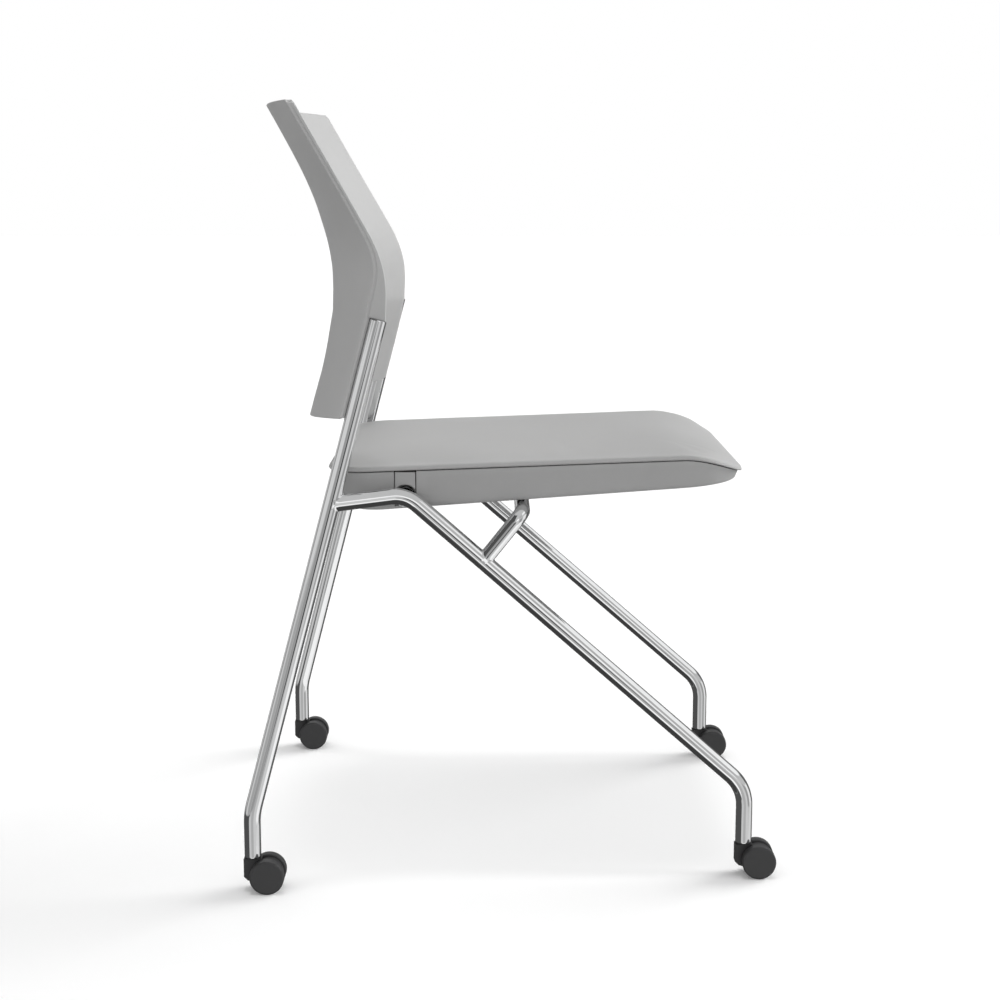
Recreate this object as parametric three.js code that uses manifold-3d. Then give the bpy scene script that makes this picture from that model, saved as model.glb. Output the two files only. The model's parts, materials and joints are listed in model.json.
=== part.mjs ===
// Nesting chair: two bent-tube side frames on twin-wheel casters, a moulded back
// shell held between the uprights, and a padded seat that flips up about a cross tube.
// Millimetres, +Z up, front of the chair towards -Y, origin on the floor under the middle.
import * as THREE from 'three';
import { mergeVertices } from 'three/addons/utils/BufferGeometryUtils.js';
import Module from 'manifold-3d';

const wasm = await Module();
wasm.setup();

// Shared clearances and overrun
const seatGap = 0.3;          // between two fixed pieces that touch in the real chair
const runningGap = 0.5;       // round a piece that turns
const cutOverrun = 5;         // how far a cutting solid reaches past what it cuts
const mergeDistance = 0.0001; // points closer than this are one

// Frame tube
const tubeDiameter = 18;
const tubeWall = 1.6;
const tubeSides = 16;
const wheelbase = 536;        // rear stub to front stub, fore and aft
const rearHalfTrack = 263.5;
const frontHalfTrack = 220;
const stubFootLift = 0.8;     // lower end of each vertical stub above the wheels' tops
const rearBendHeight = 86;
const uprightTopHeight = 612;
const uprightTopSetback = 138.5;    // how far the top end stands ahead of the rear stub
const frameHalfSpacing = 214; // side frame's centre line at the knee and the upright's top
const railRearHeight = 418.5;
const kneeHeight = 425.5;     // corner where the rail turns down into the front leg
const kneeSetback = 166;      // knee ahead of the rear stub
const ankleHeight = 100.5;    // corner where the front leg turns into its stub
const rearBendRadius = 75;
const kneeBendRadius = 38;
const ankleBendRadius = 45;
const bendSteps = 5;

// Front crossbar, a narrower tube bent to a wide U
const crossbarDiameter = 16.5;
const crossbarWall = 1.5;
const crossbarLead = 121;      // straight run ahead of the knee
const crossbarFootShare = 0.224;    // foot's place down the leg, from knee to ankle
const crossbarInset = 3;
const crossbarBendRadius = 26;

// Pivot tube under the seat
const pivotTubeWall = 1.6;

// Plugs in the upper tube ends
const plugLength = 14;
const plugCrown = 1.2;

// Casters
const wheelDiameter = 37.2;
const wheelWidth = 11.2;
const wheelSides = 24;
const wheelEdge = 1.8;
const wheelRecess = 1.4;
const wheelRimWidth = 3.6;
const casterTrail = 16;
const hubReach = 9.6;         // how far the horn stands behind the swivel axis
const hubHalfWidth = 6;
const hubFootDrop = 6.1;      // horn's foot below the axle
const hubChamfer = 4;
const webInset = 4.6;         // horn's round web inside the wheel's edge
const stemDiameter = 8;
const stemLength = 46;
const stemSeatDepth = 15;
const stemGroove = 1;
const axleDiameter = 4.8;
const axleReachShare = 0.7;   // of each wheel's width
const socketFlange = 1.1;
const socketLength = 34;

// Back shell
const shellBottomLift = 37.2;   // lower edge above the rear end of the seat's seam
const shellHeight = 359;
const shellSideRise = 21;     // the lower edge is higher at the sides than in the middle
const shellSideDrop = 5;      // the upper edge is lower at the sides
const shellCorner = 7;
const shellThickness = 5;
const shellWrap = 69;         // depth of the curve from the rims to the middle of the back
const shellFlare = 94;        // how far the upper rim leans back beyond the tube ends
const shellTopHalfWidth = 207;
const shellTubeCover = 3;     // rim face outboard of the upright's centre line
const rimSetback = 3;         // rim edge behind the foremost line of the upright
const rimBand = 6;            // width of the rim's side face at the top
const cradleRearWall = 3;     // beside the uprights: material behind the tube
const cradleInnerWall = 4;    // and inboard of it
const shellStations = 21;
const shellHalfColumns = 8;

// Rows of [share of the height above the tube ends, share of shellFlare]
const rimFlareShares = [[0, 0], [0.12, -0.014], [0.2, -0.003], [0.28, 0.047], [0.356, 0.125],
  [0.441, 0.241], [0.633, 0.512], [0.821, 0.778], [1, 1.03]];
// Rows of [share of shellHeight, share of shellWrap]
const wrapShares = [[0, 0.97], [0.3, 0.99], [0.47, 1], [0.58, 0.913], [0.68, 0.768], [0.76, 0.7],
  [0.89, 0.67], [1, 0.66]];
// Rows of [share of the height above the tube ends, share of the way to the top width]
const rimWidthShares = [[0, 0], [0.12, -0.15], [0.28, 0.2], [0.44, 0.55], [0.64, 0.95], [1, 1]];
// Rows of [share of the height above the tube ends, share of the cradle's extra size left]
const cradleFadeShares = [[0, 1], [0.04, 0.95], [0.12, 0.66], [0.2, 0.3], [0.28, 0.06], [0.34, 0],
  [1, 0]];

// Seat outline and its seam line
const seatSideInset = 5;      // side edge inboard of the side frame's centre line
const seatRearReach = 85.03;  // rear edge behind the pivot
const seatDepth = 452;
const seatFrontCorner = 74;
const seatRearCorner = 46;
const seamRearRise = 27.6;    // seam's rear end above the pivot
const seamRise = 17;          // from the rear edge to where the front edge would be
const noseLength = 69;        // length of the rolled front edge
const noseDrop = 26;
const noseCurl = 1.6;         // exponent of the roll
const seatCornerPoints = 6;
const seatSidePoints = 6;
const seatEndPoints = 4;
const seatMiddleHalfWidth = 41;     // last ring of the seat's surfaces before their middle

// Pad: its lip over the pan, its rim and its crown
const padLift = 0.6;
const padRimHeight = 5.6;
const padLipInset = 1.6;
const padRound = 4;
const padCrown = 8;
const padWaist = 0.8;
const crownRingShares = [0.05, 0.14, 0.3, 0.55, 1];

// Pan under the seat
const panWall = 3;
const panRimInset = 1.8;
const panFrontDepth = 33;
const panNoseDepth = 13;      // least depth, at the rolled edge
const panWallDraft = 8;
const panFloorRound = 4;
const panFrontRake = 0.9;     // extra draft of the front wall, as a factor
const panRearRake = 1.6;

// Seat board inside the pan
const boardThickness = 5;
const boardInset = 9;
const boardNoseInset = 22;    // the board stops short of the rolled edge
const boardRingShares = [0, 0.13, 0.28, 0.5, 1];

// Hinge blocks, straps and their screws
const hingeBlockWidth = 30;
const hingeEndGap = 0.8;      // from the pan's wall to the block
const strapThickness = 1.6;
const slotSideClearance = 3;  // from the pivot tube to the pan's slot
const slotFootClearance = 2;
const insertArcClearance = 4;
const insertThickness = 4.5;
const insertInset = 1.9;
const insertClearance = 0.6;
const screwDiameter = 4;
const screwHeadDiameter = 7.5;
const screwHeadHeight = 2;
const screwLength = 11;
const screwHeadClearance = 0.75;    // from the strap's round to a screw head
const strapEndMargin = 0.65;        // from a screw head to the strap's end

// Rubber bumpers between the pan and the crossbar
const bumperInset = 64;       // inboard of the side frame's centre line
const bumperHalfWidth = 11;
const bumperHalfDepth = 9;
const bumperHeight = 2.4;

// Sizes worked out from the ones above
const tubeRadius = tubeDiameter / 2;
const wheelRadius = wheelDiameter / 2;
const rearStubY = (wheelbase + wheelRadius + casterTrail - hubReach) / 2;
const frontStubY = rearStubY - wheelbase;
const uprightTopY = rearStubY - uprightTopSetback;
const kneeY = rearStubY - kneeSetback;
const crossbarY = kneeY - crossbarLead;
const stubFootHeight = wheelDiameter + stubFootLift;
const crossbarRadius = crossbarDiameter / 2;
const rimLead = tubeRadius - rimSetback;
const cradleBand = rimLead + tubeRadius + cradleRearWall;
const cradleDepth = shellTubeCover + tubeRadius + cradleInnerWall;
const seatHalfWidth = frameHalfSpacing - seatSideInset;
const seatMiddleInset = seatHalfWidth - seatMiddleHalfWidth;
const bumperX = frameHalfSpacing - bumperInset;
const slotHalfWidth = tubeRadius + slotSideClearance;
const slotFloorDrop = tubeRadius + slotFootClearance;
const insertArcRadius = tubeRadius + insertArcClearance;
const strapRadius = tubeRadius + runningGap + strapThickness;
const screwOffset = strapRadius + screwHeadClearance + screwHeadDiameter / 2;
const hingeBlockHalfDepth = screwOffset + screwHeadDiameter / 2 + strapEndMargin;
const webRadius = wheelRadius - webInset;

// Colours
const materials = {
  chrome: () => new THREE.MeshStandardMaterial({ color: 0xd9dadb, roughness: 0.12, metalness: 1 }),
  steel: () => new THREE.MeshStandardMaterial({ color: 0xa9abad, roughness: 0.35, metalness: 1 }),
  shell: () => new THREE.MeshStandardMaterial({ color: 0x9b9b9b, roughness: 0.55, metalness: 0 }),
  pan: () => new THREE.MeshStandardMaterial({ color: 0x919191, roughness: 0.6, metalness: 0 }),
  pad: () => new THREE.MeshStandardMaterial({ color: 0xb4b4b3, roughness: 0.7, metalness: 0 }),
  board: () => new THREE.MeshStandardMaterial({ color: 0xc2a67c, roughness: 0.8, metalness: 0 }),
  wheel: () => new THREE.MeshStandardMaterial({ color: 0x3c3c3c, roughness: 0.5, metalness: 0 }),
  horn: () => new THREE.MeshStandardMaterial({ color: 0x343434, roughness: 0.45, metalness: 0 }),
  rubber: () => new THREE.MeshStandardMaterial({ color: 0x222222, roughness: 0.9, metalness: 0 }),
};

const chair = new THREE.Group();

function addPiece(name, geometry, material, parent = chair) {
  const mesh = new THREE.Mesh(geometry, material());
  mesh.name = name;
  parent.add(mesh);
  return mesh;
}

// Solids for cutting and joining
function toSolid(geometry) {
  const plain = geometry.clone();
  plain.deleteAttribute('normal');
  plain.deleteAttribute('uv');
  const merged = mergeVertices(plain, mergeDistance);
  return new wasm.Manifold(new wasm.Mesh({
    numProp: 3,
    vertProperties: new Float32Array(merged.attributes.position.array),
    triVerts: new Uint32Array(merged.index.array),
  }));
}

function toGeometry(solid) {
  const mesh = solid.getMesh();
  const geometry = new THREE.BufferGeometry();
  geometry.setAttribute('position', new THREE.BufferAttribute(mesh.vertProperties, 3));
  geometry.setIndex(new THREE.BufferAttribute(mesh.triVerts, 1));
  geometry.computeVertexNormals();
  return geometry;
}

function cut(geometry, ...cutters) {
  return toGeometry(cutters.reduce((rest, cutter) => rest.subtract(toSolid(cutter)), toSolid(geometry)));
}

function join(first, ...others) {
  return toGeometry(others.reduce((sum, other) => sum.add(toSolid(other)), toSolid(first)));
}

// A route of straight runs with round bends at its corners. Each station is one ring
// of the tube, so straight runs take a single step.
class BentRoute extends THREE.Curve {
  constructor(corners, bendRadii) {
    super();
    this.stations = [];
    this.tangents = [];
    const last = corners.length - 1;
    this.addStation(corners[0], corners[1].clone().sub(corners[0]).normalize());
    for (let i = 1; i < last; i += 1) {
      this.addBend(corners[i - 1], corners[i], corners[i + 1], bendRadii[i - 1]);
    }
    this.addStation(corners[last], corners[last].clone().sub(corners[last - 1]).normalize());
  }

  addStation(point, tangent) {
    this.stations.push(point.clone());
    this.tangents.push(tangent.clone());
  }

  addBend(before, corner, after, radius) {
    const incoming = corner.clone().sub(before).normalize();
    const outgoing = after.clone().sub(corner).normalize();
    const angle = incoming.angleTo(outgoing);
    const axis = incoming.clone().cross(outgoing).normalize();
    const start = corner.clone().addScaledVector(incoming, -radius * Math.tan(angle / 2));
    const centre = start.clone().addScaledVector(axis.clone().cross(incoming), radius);
    for (let k = 0; k <= bendSteps; k += 1) {
      const turn = (angle * k) / bendSteps;
      const spoke = start.clone().sub(centre).applyAxisAngle(axis, turn);
      this.addStation(centre.clone().add(spoke), incoming.clone().applyAxisAngle(axis, turn));
    }
  }

  getPoint(t, target = new THREE.Vector3()) {
    return target.copy(this.stations[Math.round(t * (this.stations.length - 1))]);
  }

  getPointAt(u, target) {
    return this.getPoint(u, target);
  }

  getTangentAt(u, target = new THREE.Vector3()) {
    return target.copy(this.tangents[Math.round(u * (this.stations.length - 1))]);
  }
}

function ringShape(outerRadius, innerRadius = 0) {
  const shape = new THREE.Shape();
  shape.absarc(0, 0, outerRadius, 0, 2 * Math.PI);
  if (innerRadius > 0) {
    const bore = new THREE.Path();
    bore.absarc(0, 0, innerRadius, 0, 2 * Math.PI, true);
    shape.holes.push(bore);
  }
  return shape;
}

function tubeAlong(route, outerRadius, innerRadius = 0) {
  return new THREE.ExtrudeGeometry(ringShape(outerRadius, innerRadius), {
    steps: route.stations.length - 1,
    extrudePath: route,
    bevelEnabled: false,
    curveSegments: tubeSides / 2,
  });
}

function rodBetween(start, end, radius, innerRadius = 0) {
  return tubeAlong(new BentRoute([start, end], []), radius, innerRadius);
}

// A profile in the fore-aft plane, given as [y, z], extruded sideways from x to x + width
function sideExtrude(outline, x, width) {
  const shape = outline instanceof THREE.Shape ? outline
    : new THREE.Shape(outline.map(([y, z]) => new THREE.Vector2(y, z)));
  const geometry = new THREE.ExtrudeGeometry(shape, {
    depth: width,
    bevelEnabled: false,
    curveSegments: tubeSides / 2,
  });
  const toSide = new THREE.Matrix4().makeBasis(
    new THREE.Vector3(0, 1, 0),
    new THREE.Vector3(0, 0, 1),
    new THREE.Vector3(1, 0, 0),
  );
  geometry.applyMatrix4(toSide);
  geometry.translate(x, 0, 0);
  return geometry;
}

// Faces that close a ring from a middle point, for outlines that bulge all round
function closeByFan(ring, offset, positions) {
  const middle = ring.reduce((sum, point) => sum.add(point), new THREE.Vector3());
  middle.divideScalar(ring.length);
  const centre = positions.length / 3;
  positions.push(middle.x, middle.y, middle.z);
  return ring.map((point, i) => [centre, offset + i, offset + ((i + 1) % ring.length)]);
}

// Faces that close a thin section whose second half runs back beside its first half
function closeByStrip(ring, offset) {
  const faces = [];
  for (let i = 0; i < ring.length / 2 - 1; i += 1) {
    const across = ring.length - 1 - i;
    faces.push([offset + i, offset + i + 1, offset + across - 1]);
    faces.push([offset + i, offset + across - 1, offset + across]);
  }
  return faces;
}

// A closed skin through rings of equal count
function loftRings(rings, closeEnd = closeByFan) {
  const count = rings[0].length;
  const positions = rings.flat().flatMap((point) => [point.x, point.y, point.z]);
  const faces = [];
  for (let r = 0; r < rings.length - 1; r += 1) {
    for (let i = 0; i < count; i += 1) {
      const a = r * count + i;
      const b = r * count + ((i + 1) % count);
      faces.push([a, b, b + count], [a, b + count, a + count]);
    }
  }
  const lastRing = rings[rings.length - 1];
  const firstEnd = closeEnd(rings[0], 0, positions);
  faces.push(...firstEnd.map(([a, b, c]) => [a, c, b]));
  faces.push(...closeEnd(lastRing, (rings.length - 1) * count, positions));
  let volume = 0;
  const at = (index) => new THREE.Vector3().fromArray(positions, index * 3);
  for (const [a, b, c] of faces) {
    volume += at(a).dot(at(b).cross(at(c)));
  }
  const outward = volume < 0 ? faces.map(([a, b, c]) => [a, c, b]) : faces;
  const geometry = new THREE.BufferGeometry();
  geometry.setAttribute('position', new THREE.Float32BufferAttribute(positions, 3));
  geometry.setIndex(outward.flat());
  geometry.computeVertexNormals();
  return geometry;
}

// Smooth value between the rows of a share table
function readShares(table, t) {
  const last = table.length - 1;
  const clamped = THREE.MathUtils.clamp(t, table[0][0], table[last][0]);
  let i = 0;
  while (i < last - 1 && clamped > table[i + 1][0]) {
    i += 1;
  }
  const slope = (a, b) => (table[b][1] - table[a][1]) / (table[b][0] - table[a][0]);
  const here = slope(i, i + 1);
  const slopeIn = i > 0 ? (slope(i - 1, i) + here) / 2 : here;
  const slopeOut = i < last - 1 ? (here + slope(i + 1, i + 2)) / 2 : here;
  const span = table[i + 1][0] - table[i][0];
  const s = (clamped - table[i][0]) / span;
  const rise = table[i + 1][1] - table[i][1];
  const bow = s * (1 - s) * ((1 - s) * (slopeIn * span - rise) - s * (slopeOut * span - rise));
  return table[i][1] + s * rise + bow;
}

// Corner points of the side frames, for side -1 (sitter's right) or 1 (left)
const sides = [{ word: 'right', sign: -1 }, { word: 'left', sign: 1 }];

function uprightCorners(sign) {
  return [
    new THREE.Vector3(sign * rearHalfTrack, rearStubY, stubFootHeight),
    new THREE.Vector3(sign * rearHalfTrack, rearStubY, rearBendHeight),
    new THREE.Vector3(sign * frameHalfSpacing, uprightTopY, uprightTopHeight),
  ];
}

function uprightAxisAt(height, sign) {
  const [, bend, top] = uprightCorners(sign);
  return bend.clone().lerp(top, (height - bend.z) / (top.z - bend.z));
}

function legCorners(sign) {
  return [
    uprightAxisAt(railRearHeight, sign),
    new THREE.Vector3(sign * frameHalfSpacing, kneeY, kneeHeight),
    new THREE.Vector3(sign * frontHalfTrack, frontStubY, ankleHeight),
    new THREE.Vector3(sign * frontHalfTrack, frontStubY, stubFootHeight),
  ];
}

// The middle of the knee bend carries the pivot tube
function kneeMiddle(sign) {
  const [rear, knee, ankle] = legCorners(sign);
  const toRear = rear.clone().sub(knee).normalize();
  const toAnkle = ankle.clone().sub(knee).normalize();
  const halfTurn = (Math.PI - toRear.angleTo(toAnkle)) / 2;
  const inward = toRear.add(toAnkle).normalize();
  return knee.clone().addScaledVector(inward, kneeBendRadius * (1 / Math.cos(halfTurn) - 1));
}

const pivot = kneeMiddle(1);
const seatRearY = pivot.y + seatRearReach;
const seatFrontY = seatRearY - seatDepth;
const seamRearHeight = pivot.z + seamRearRise;
const shellBottomHeight = seamRearHeight + shellBottomLift;
const shellTopHeight = shellBottomHeight + shellHeight;
const panPivotDepth = seamHeightAt(pivot.y) - pivot.z + strapRadius + seatGap + panWall;
const crossbarHeight = panFloorAt(crossbarY) - bumperHeight - 2 * seatGap - crossbarRadius;

// Side frames
function buildSideFrame({ word, sign }) {
  const upright = uprightCorners(sign);
  const uprightTube = tubeAlong(new BentRoute(upright, [rearBendRadius]), tubeRadius, tubeRadius - tubeWall);
  addPiece(`upright_${word}`, uprightTube, materials.chrome);

  const copeTool = rodBetween(upright[1], upright[2], tubeRadius + seatGap);
  const legRoute = new BentRoute(legCorners(sign), [kneeBendRadius, ankleBendRadius]);
  const legTube = tubeAlong(legRoute, tubeRadius, tubeRadius - tubeWall);
  addPiece(`front_leg_${word}`, cut(legTube, copeTool), materials.chrome);

  addPiece(`upright_plug_${word}`, buildTubePlug(upright[1], upright[2]), materials.shell);
}

// A plug pushed into the upper end of an upright, with a low crown over the tube's wall
function buildTubePlug(below, end) {
  const plugRadius = tubeRadius - tubeWall - seatGap;
  const outline = [
    new THREE.Vector2(0, -plugLength),
    new THREE.Vector2(plugRadius, -plugLength),
    new THREE.Vector2(plugRadius, seatGap),
    new THREE.Vector2(tubeRadius - tubeWall / 2, seatGap),
    new THREE.Vector2(tubeRadius - tubeWall, plugCrown),
    new THREE.Vector2(0, plugCrown + seatGap),
  ];
  const plug = new THREE.LatheGeometry(outline, tubeSides);
  const direction = end.clone().sub(below).normalize();
  plug.applyQuaternion(new THREE.Quaternion().setFromUnitVectors(new THREE.Vector3(0, 1, 0), direction));
  plug.translate(end.x, end.y, end.z);
  return plug;
}

// Front crossbar: each foot is coped onto a front leg
function crossbarFoot(sign) {
  const [, knee, ankle] = legCorners(sign);
  return knee.clone().lerp(ankle, crossbarFootShare);
}

function buildCrossbar() {
  const corner = (sign) => new THREE.Vector3(
    sign * (frameHalfSpacing - crossbarInset),
    crossbarY,
    crossbarHeight,
  );
  const route = new BentRoute(
    [crossbarFoot(-1), corner(-1), corner(1), crossbarFoot(1)],
    [crossbarBendRadius, crossbarBendRadius],
  );
  const bar = tubeAlong(route, crossbarRadius, crossbarRadius - crossbarWall);
  const legTools = sides.map(({ sign }) => {
    const [, knee, ankle] = legCorners(sign);
    return rodBetween(knee, ankle, tubeRadius + seatGap);
  });
  return cut(bar, ...legTools);
}

// Pivot tube: spans the knees, its ends coped to the bends
function buildPivotTube() {
  const bar = rodBetween(kneeMiddle(-1), kneeMiddle(1), tubeRadius, tubeRadius - pivotTubeWall);
  const kneeTools = sides.map(({ sign }) => {
    const route = new BentRoute(legCorners(sign), [kneeBendRadius, ankleBendRadius]);
    return tubeAlong(route, tubeRadius + seatGap);
  });
  return cut(bar, ...kneeTools);
}

// Back shell
function shellHalfWidthAt(height) {
  const tubeEndHalfWidth = frameHalfSpacing + shellTubeCover;
  if (height <= uprightTopHeight) {
    return uprightAxisAt(height, 1).x + shellTubeCover;
  }
  const share = (height - uprightTopHeight) / (shellTopHeight - uprightTopHeight);
  return THREE.MathUtils.lerp(tubeEndHalfWidth, shellTopHalfWidth, readShares(rimWidthShares, share));
}

function rimYAt(height) {
  if (height <= uprightTopHeight) {
    return uprightAxisAt(height, 1).y - rimLead;
  }
  const share = (height - uprightTopHeight) / (shellTopHeight - uprightTopHeight);
  return uprightTopY - rimLead + shellFlare * readShares(rimFlareShares, share);
}

function cradleShareAt(height) {
  const share = (height - uprightTopHeight) / (shellTopHeight - uprightTopHeight);
  return readShares(cradleFadeShares, Math.max(share, 0));
}

// Height of the point at side share s (-1 to 1) on station v (0 lower edge, 1 upper edge)
function shellHeightAt(s, v) {
  const cornerStart = 1 - shellCorner / shellTopHalfWidth;
  const intoCorner = Math.max(Math.abs(s) - cornerStart, 0) / (1 - cornerStart);
  const corner = shellCorner * (1 - Math.sqrt(1 - intoCorner ** 2));
  const lower = shellBottomHeight + shellSideRise * s ** 2 + corner;
  const upper = shellTopHeight - shellSideDrop * s ** 2 - corner;
  return THREE.MathUtils.lerp(lower, upper, v);
}

function shellSection(v) {
  const outer = [];
  const inner = [];
  const columnShares = [];
  for (let k = -shellHalfColumns; k <= shellHalfColumns; k += 1) {
    columnShares.push(Math.sin((k / shellHalfColumns) * (Math.PI / 2)));
  }
  const place = (s, height, acrossInset, y) => {
    const halfWidth = shellHalfWidthAt(height) - acrossInset;
    return new THREE.Vector3(s * halfWidth, y, height);
  };
  columnShares.forEach((s, index) => {
    const height = shellHeightAt(s, v);
    const rimY = rimYAt(height);
    const cradle = cradleShareAt(height);
    const band = THREE.MathUtils.lerp(rimBand, cradleBand, cradle);
    const rimDepth = THREE.MathUtils.lerp(shellThickness, cradleDepth, cradle);
    const wrap = shellWrap * readShares(wrapShares, (height - shellBottomHeight) / shellHeight);
    const outerY = rimY + band + (wrap - band) * (1 - s ** 2);
    const innerY = rimY + (wrap - shellThickness) * (1 - s ** 2);
    const atRim = index === 0 || index === columnShares.length - 1;
    if (atRim && index === 0) {
      outer.push(place(s, height, 0, rimY));
      inner.push(place(s, height, rimDepth / 2, rimY));
    }
    outer.push(place(s, height, 0, outerY));
    inner.push(place(s, height, rimDepth, innerY));
    if (atRim && index > 0) {
      outer.push(place(s, height, 0, rimY));
      inner.push(place(s, height, rimDepth / 2, rimY));
    }
  });
  return [...outer, ...inner.reverse()];
}

function buildBackShell() {
  const rings = [];
  for (let k = 0; k <= shellStations; k += 1) {
    rings.push(shellSection(k / shellStations));
  }
  const grooves = sides.map(({ sign }) => {
    const lower = uprightAxisAt(shellBottomHeight - cutOverrun, sign);
    const upper = uprightAxisAt(uprightTopHeight + plugCrown + 2 * seatGap + runningGap, sign);
    return rodBetween(lower, upper, tubeRadius + runningGap);
  });
  return cut(loftRings(rings, closeByStrip), ...grooves);
}

// Seat outline in plan, drawn inwards by an inset that may differ at front and rear
function seatOutline(inset, frontInset = inset, rearInset = inset) {
  const halfWidth = seatHalfWidth - inset;
  const front = seatFrontY + frontInset;
  const rear = seatRearY - rearInset;
  const frontCorner = Math.max(seatFrontCorner - inset, seatRearCorner / 4);
  const rearCorner = Math.max(seatRearCorner - inset, seatRearCorner / 4);
  const points = [];
  const addRun = (fromX, fromY, toX, toY, count) => {
    for (let k = 1; k < count; k += 1) {
      const share = k / count;
      points.push(new THREE.Vector2(
        THREE.MathUtils.lerp(fromX, toX, share),
        THREE.MathUtils.lerp(fromY, toY, share),
      ));
    }
  };
  const addCorner = (x, y, radius, startAngle) => {
    for (let k = 0; k <= seatCornerPoints; k += 1) {
      const angle = startAngle + (k / seatCornerPoints) * (Math.PI / 2);
      points.push(new THREE.Vector2(x + radius * Math.cos(angle), y + radius * Math.sin(angle)));
    }
  };
  const sideX = halfWidth;
  addCorner(sideX - rearCorner, rear - rearCorner, rearCorner, 0);
  addRun(sideX - rearCorner, rear, rearCorner - sideX, rear, seatEndPoints);
  addCorner(rearCorner - sideX, rear - rearCorner, rearCorner, Math.PI / 2);
  addRun(-sideX, rear - rearCorner, -sideX, front + frontCorner, seatSidePoints);
  addCorner(frontCorner - sideX, front + frontCorner, frontCorner, Math.PI);
  addRun(frontCorner - sideX, front, sideX - frontCorner, front, seatEndPoints);
  addCorner(sideX - frontCorner, front + frontCorner, frontCorner, 1.5 * Math.PI);
  addRun(sideX, front + frontCorner, sideX, rear - rearCorner, seatSidePoints);
  return points;
}

// Height of the seam between pad and pan, which rises forward and rolls down at the nose
function seamHeightAt(y) {
  const forward = (seatRearY - y) / seatDepth;
  const intoNose = THREE.MathUtils.clamp((seatFrontY + noseLength - y) / noseLength, 0, 1);
  return seamRearHeight + seamRise * forward - noseDrop * intoNose ** noseCurl;
}

// Height of the pan's floor, which clears the straps at the pivot and rises to the front
function panFloorAt(y) {
  const inside = THREE.MathUtils.clamp(y, seatFrontY, seatRearY);
  const forward = (seatRearY - inside) / seatDepth;
  const fromPivot = (pivot.y - inside) / (pivot.y - seatFrontY);
  const depth = THREE.MathUtils.lerp(panPivotDepth, panFrontDepth, fromPivot);
  return seamRearHeight + seamRise * forward - depth;
}

function ringAt(outline, heightAt) {
  return outline.map((point) => new THREE.Vector3(point.x, point.y, heightAt(point.y)));
}

// One ring of the surface shared by the board and the pad: share 0 is the board's edge
function boardLevel(share, lift) {
  const inset = THREE.MathUtils.lerp(boardInset, seatMiddleInset, share);
  const frontInset = inset + boardNoseInset * (1 - share);
  return ringAt(seatOutline(inset, frontInset, inset), (y) => seamHeightAt(y) + lift);
}

function buildPad() {
  const level = (inset, lift) => ringAt(seatOutline(inset), (y) => seamHeightAt(y) + lift);
  const roundTop = padRimHeight + 2 * padWaist;
  const rings = [
    ...boardRingShares.map((share) => boardLevel(share, padLift)).reverse(),
    level(panRimInset + panWall + padLift, padLift),
    level(padLipInset, padLift),
    level(0, padLift + padWaist),
    level(0, padRimHeight - padWaist),
    level(padRound / 4, padRimHeight + padWaist),
    level(padRound, roundTop),
    ...crownRingShares.map((share) => level(
      THREE.MathUtils.lerp(padRound, seatMiddleInset, share),
      roundTop + padCrown * (1 - (1 - share) ** 2),
    )),
  ];
  return loftRings(rings);
}

function panLevel(share, wallInset, offset) {
  const inset = panRimInset + wallInset + offset;
  const outline = seatOutline(
    inset,
    inset + wallInset * panFrontRake,
    inset + wallInset * panRearRake,
  );
  return ringAt(outline, (y) => {
    const top = seamHeightAt(y);
    const floor = Math.min(panFloorAt(y), top - panNoseDepth) + offset;
    return THREE.MathUtils.lerp(top, floor, share);
  });
}

function pivotSlotTool(sign) {
  const slot = [
    [pivot.y - slotHalfWidth, pivot.z - slotFloorDrop],
    [pivot.y + slotHalfWidth, pivot.z - slotFloorDrop],
    [pivot.y + slotHalfWidth, seamRearHeight + seamRise],
    [pivot.y - slotHalfWidth, seamRearHeight + seamRise],
  ];
  const width = seatHalfWidth + cutOverrun - panFloorX;
  return sideExtrude(slot, sign > 0 ? panFloorX : -panFloorX - width, width);
}

function buildPan() {
  const wallShares = [0, 0.35, 0.78];
  const roundShares = [[0.93, 0.3], [1, 1]];
  const skin = (offset) => [
    ...wallShares.map((share) => panLevel(share, panWallDraft * share, offset)),
    ...roundShares.map(([share, turn]) => panLevel(share, panWallDraft + panFloorRound * turn, offset)),
    panLevel(1, panWallDraft + panFloorRound + seatHalfWidth / 3, offset),
  ];
  const outside = skin(0).reverse();
  const inside = skin(panWall);
  return cut(loftRings([...outside, ...inside]), ...sides.map(({ sign }) => pivotSlotTool(sign)));
}

function buildBoard() {
  return loftRings([
    ...boardRingShares.map((share) => boardLevel(share, -boardThickness)).reverse(),
    ...boardRingShares.map((share) => boardLevel(share, -seatGap)),
  ]);
}

// Underside of the board above the pivot, where the hinge blocks seat
function blockTopAt(y) {
  return seamHeightAt(y) - boardThickness - seatGap;
}

const panFloorX = seatHalfWidth - panRimInset - panWallDraft - panFloorRound - panWall;
const blockOuterX = panFloorX - hingeEndGap;

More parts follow.
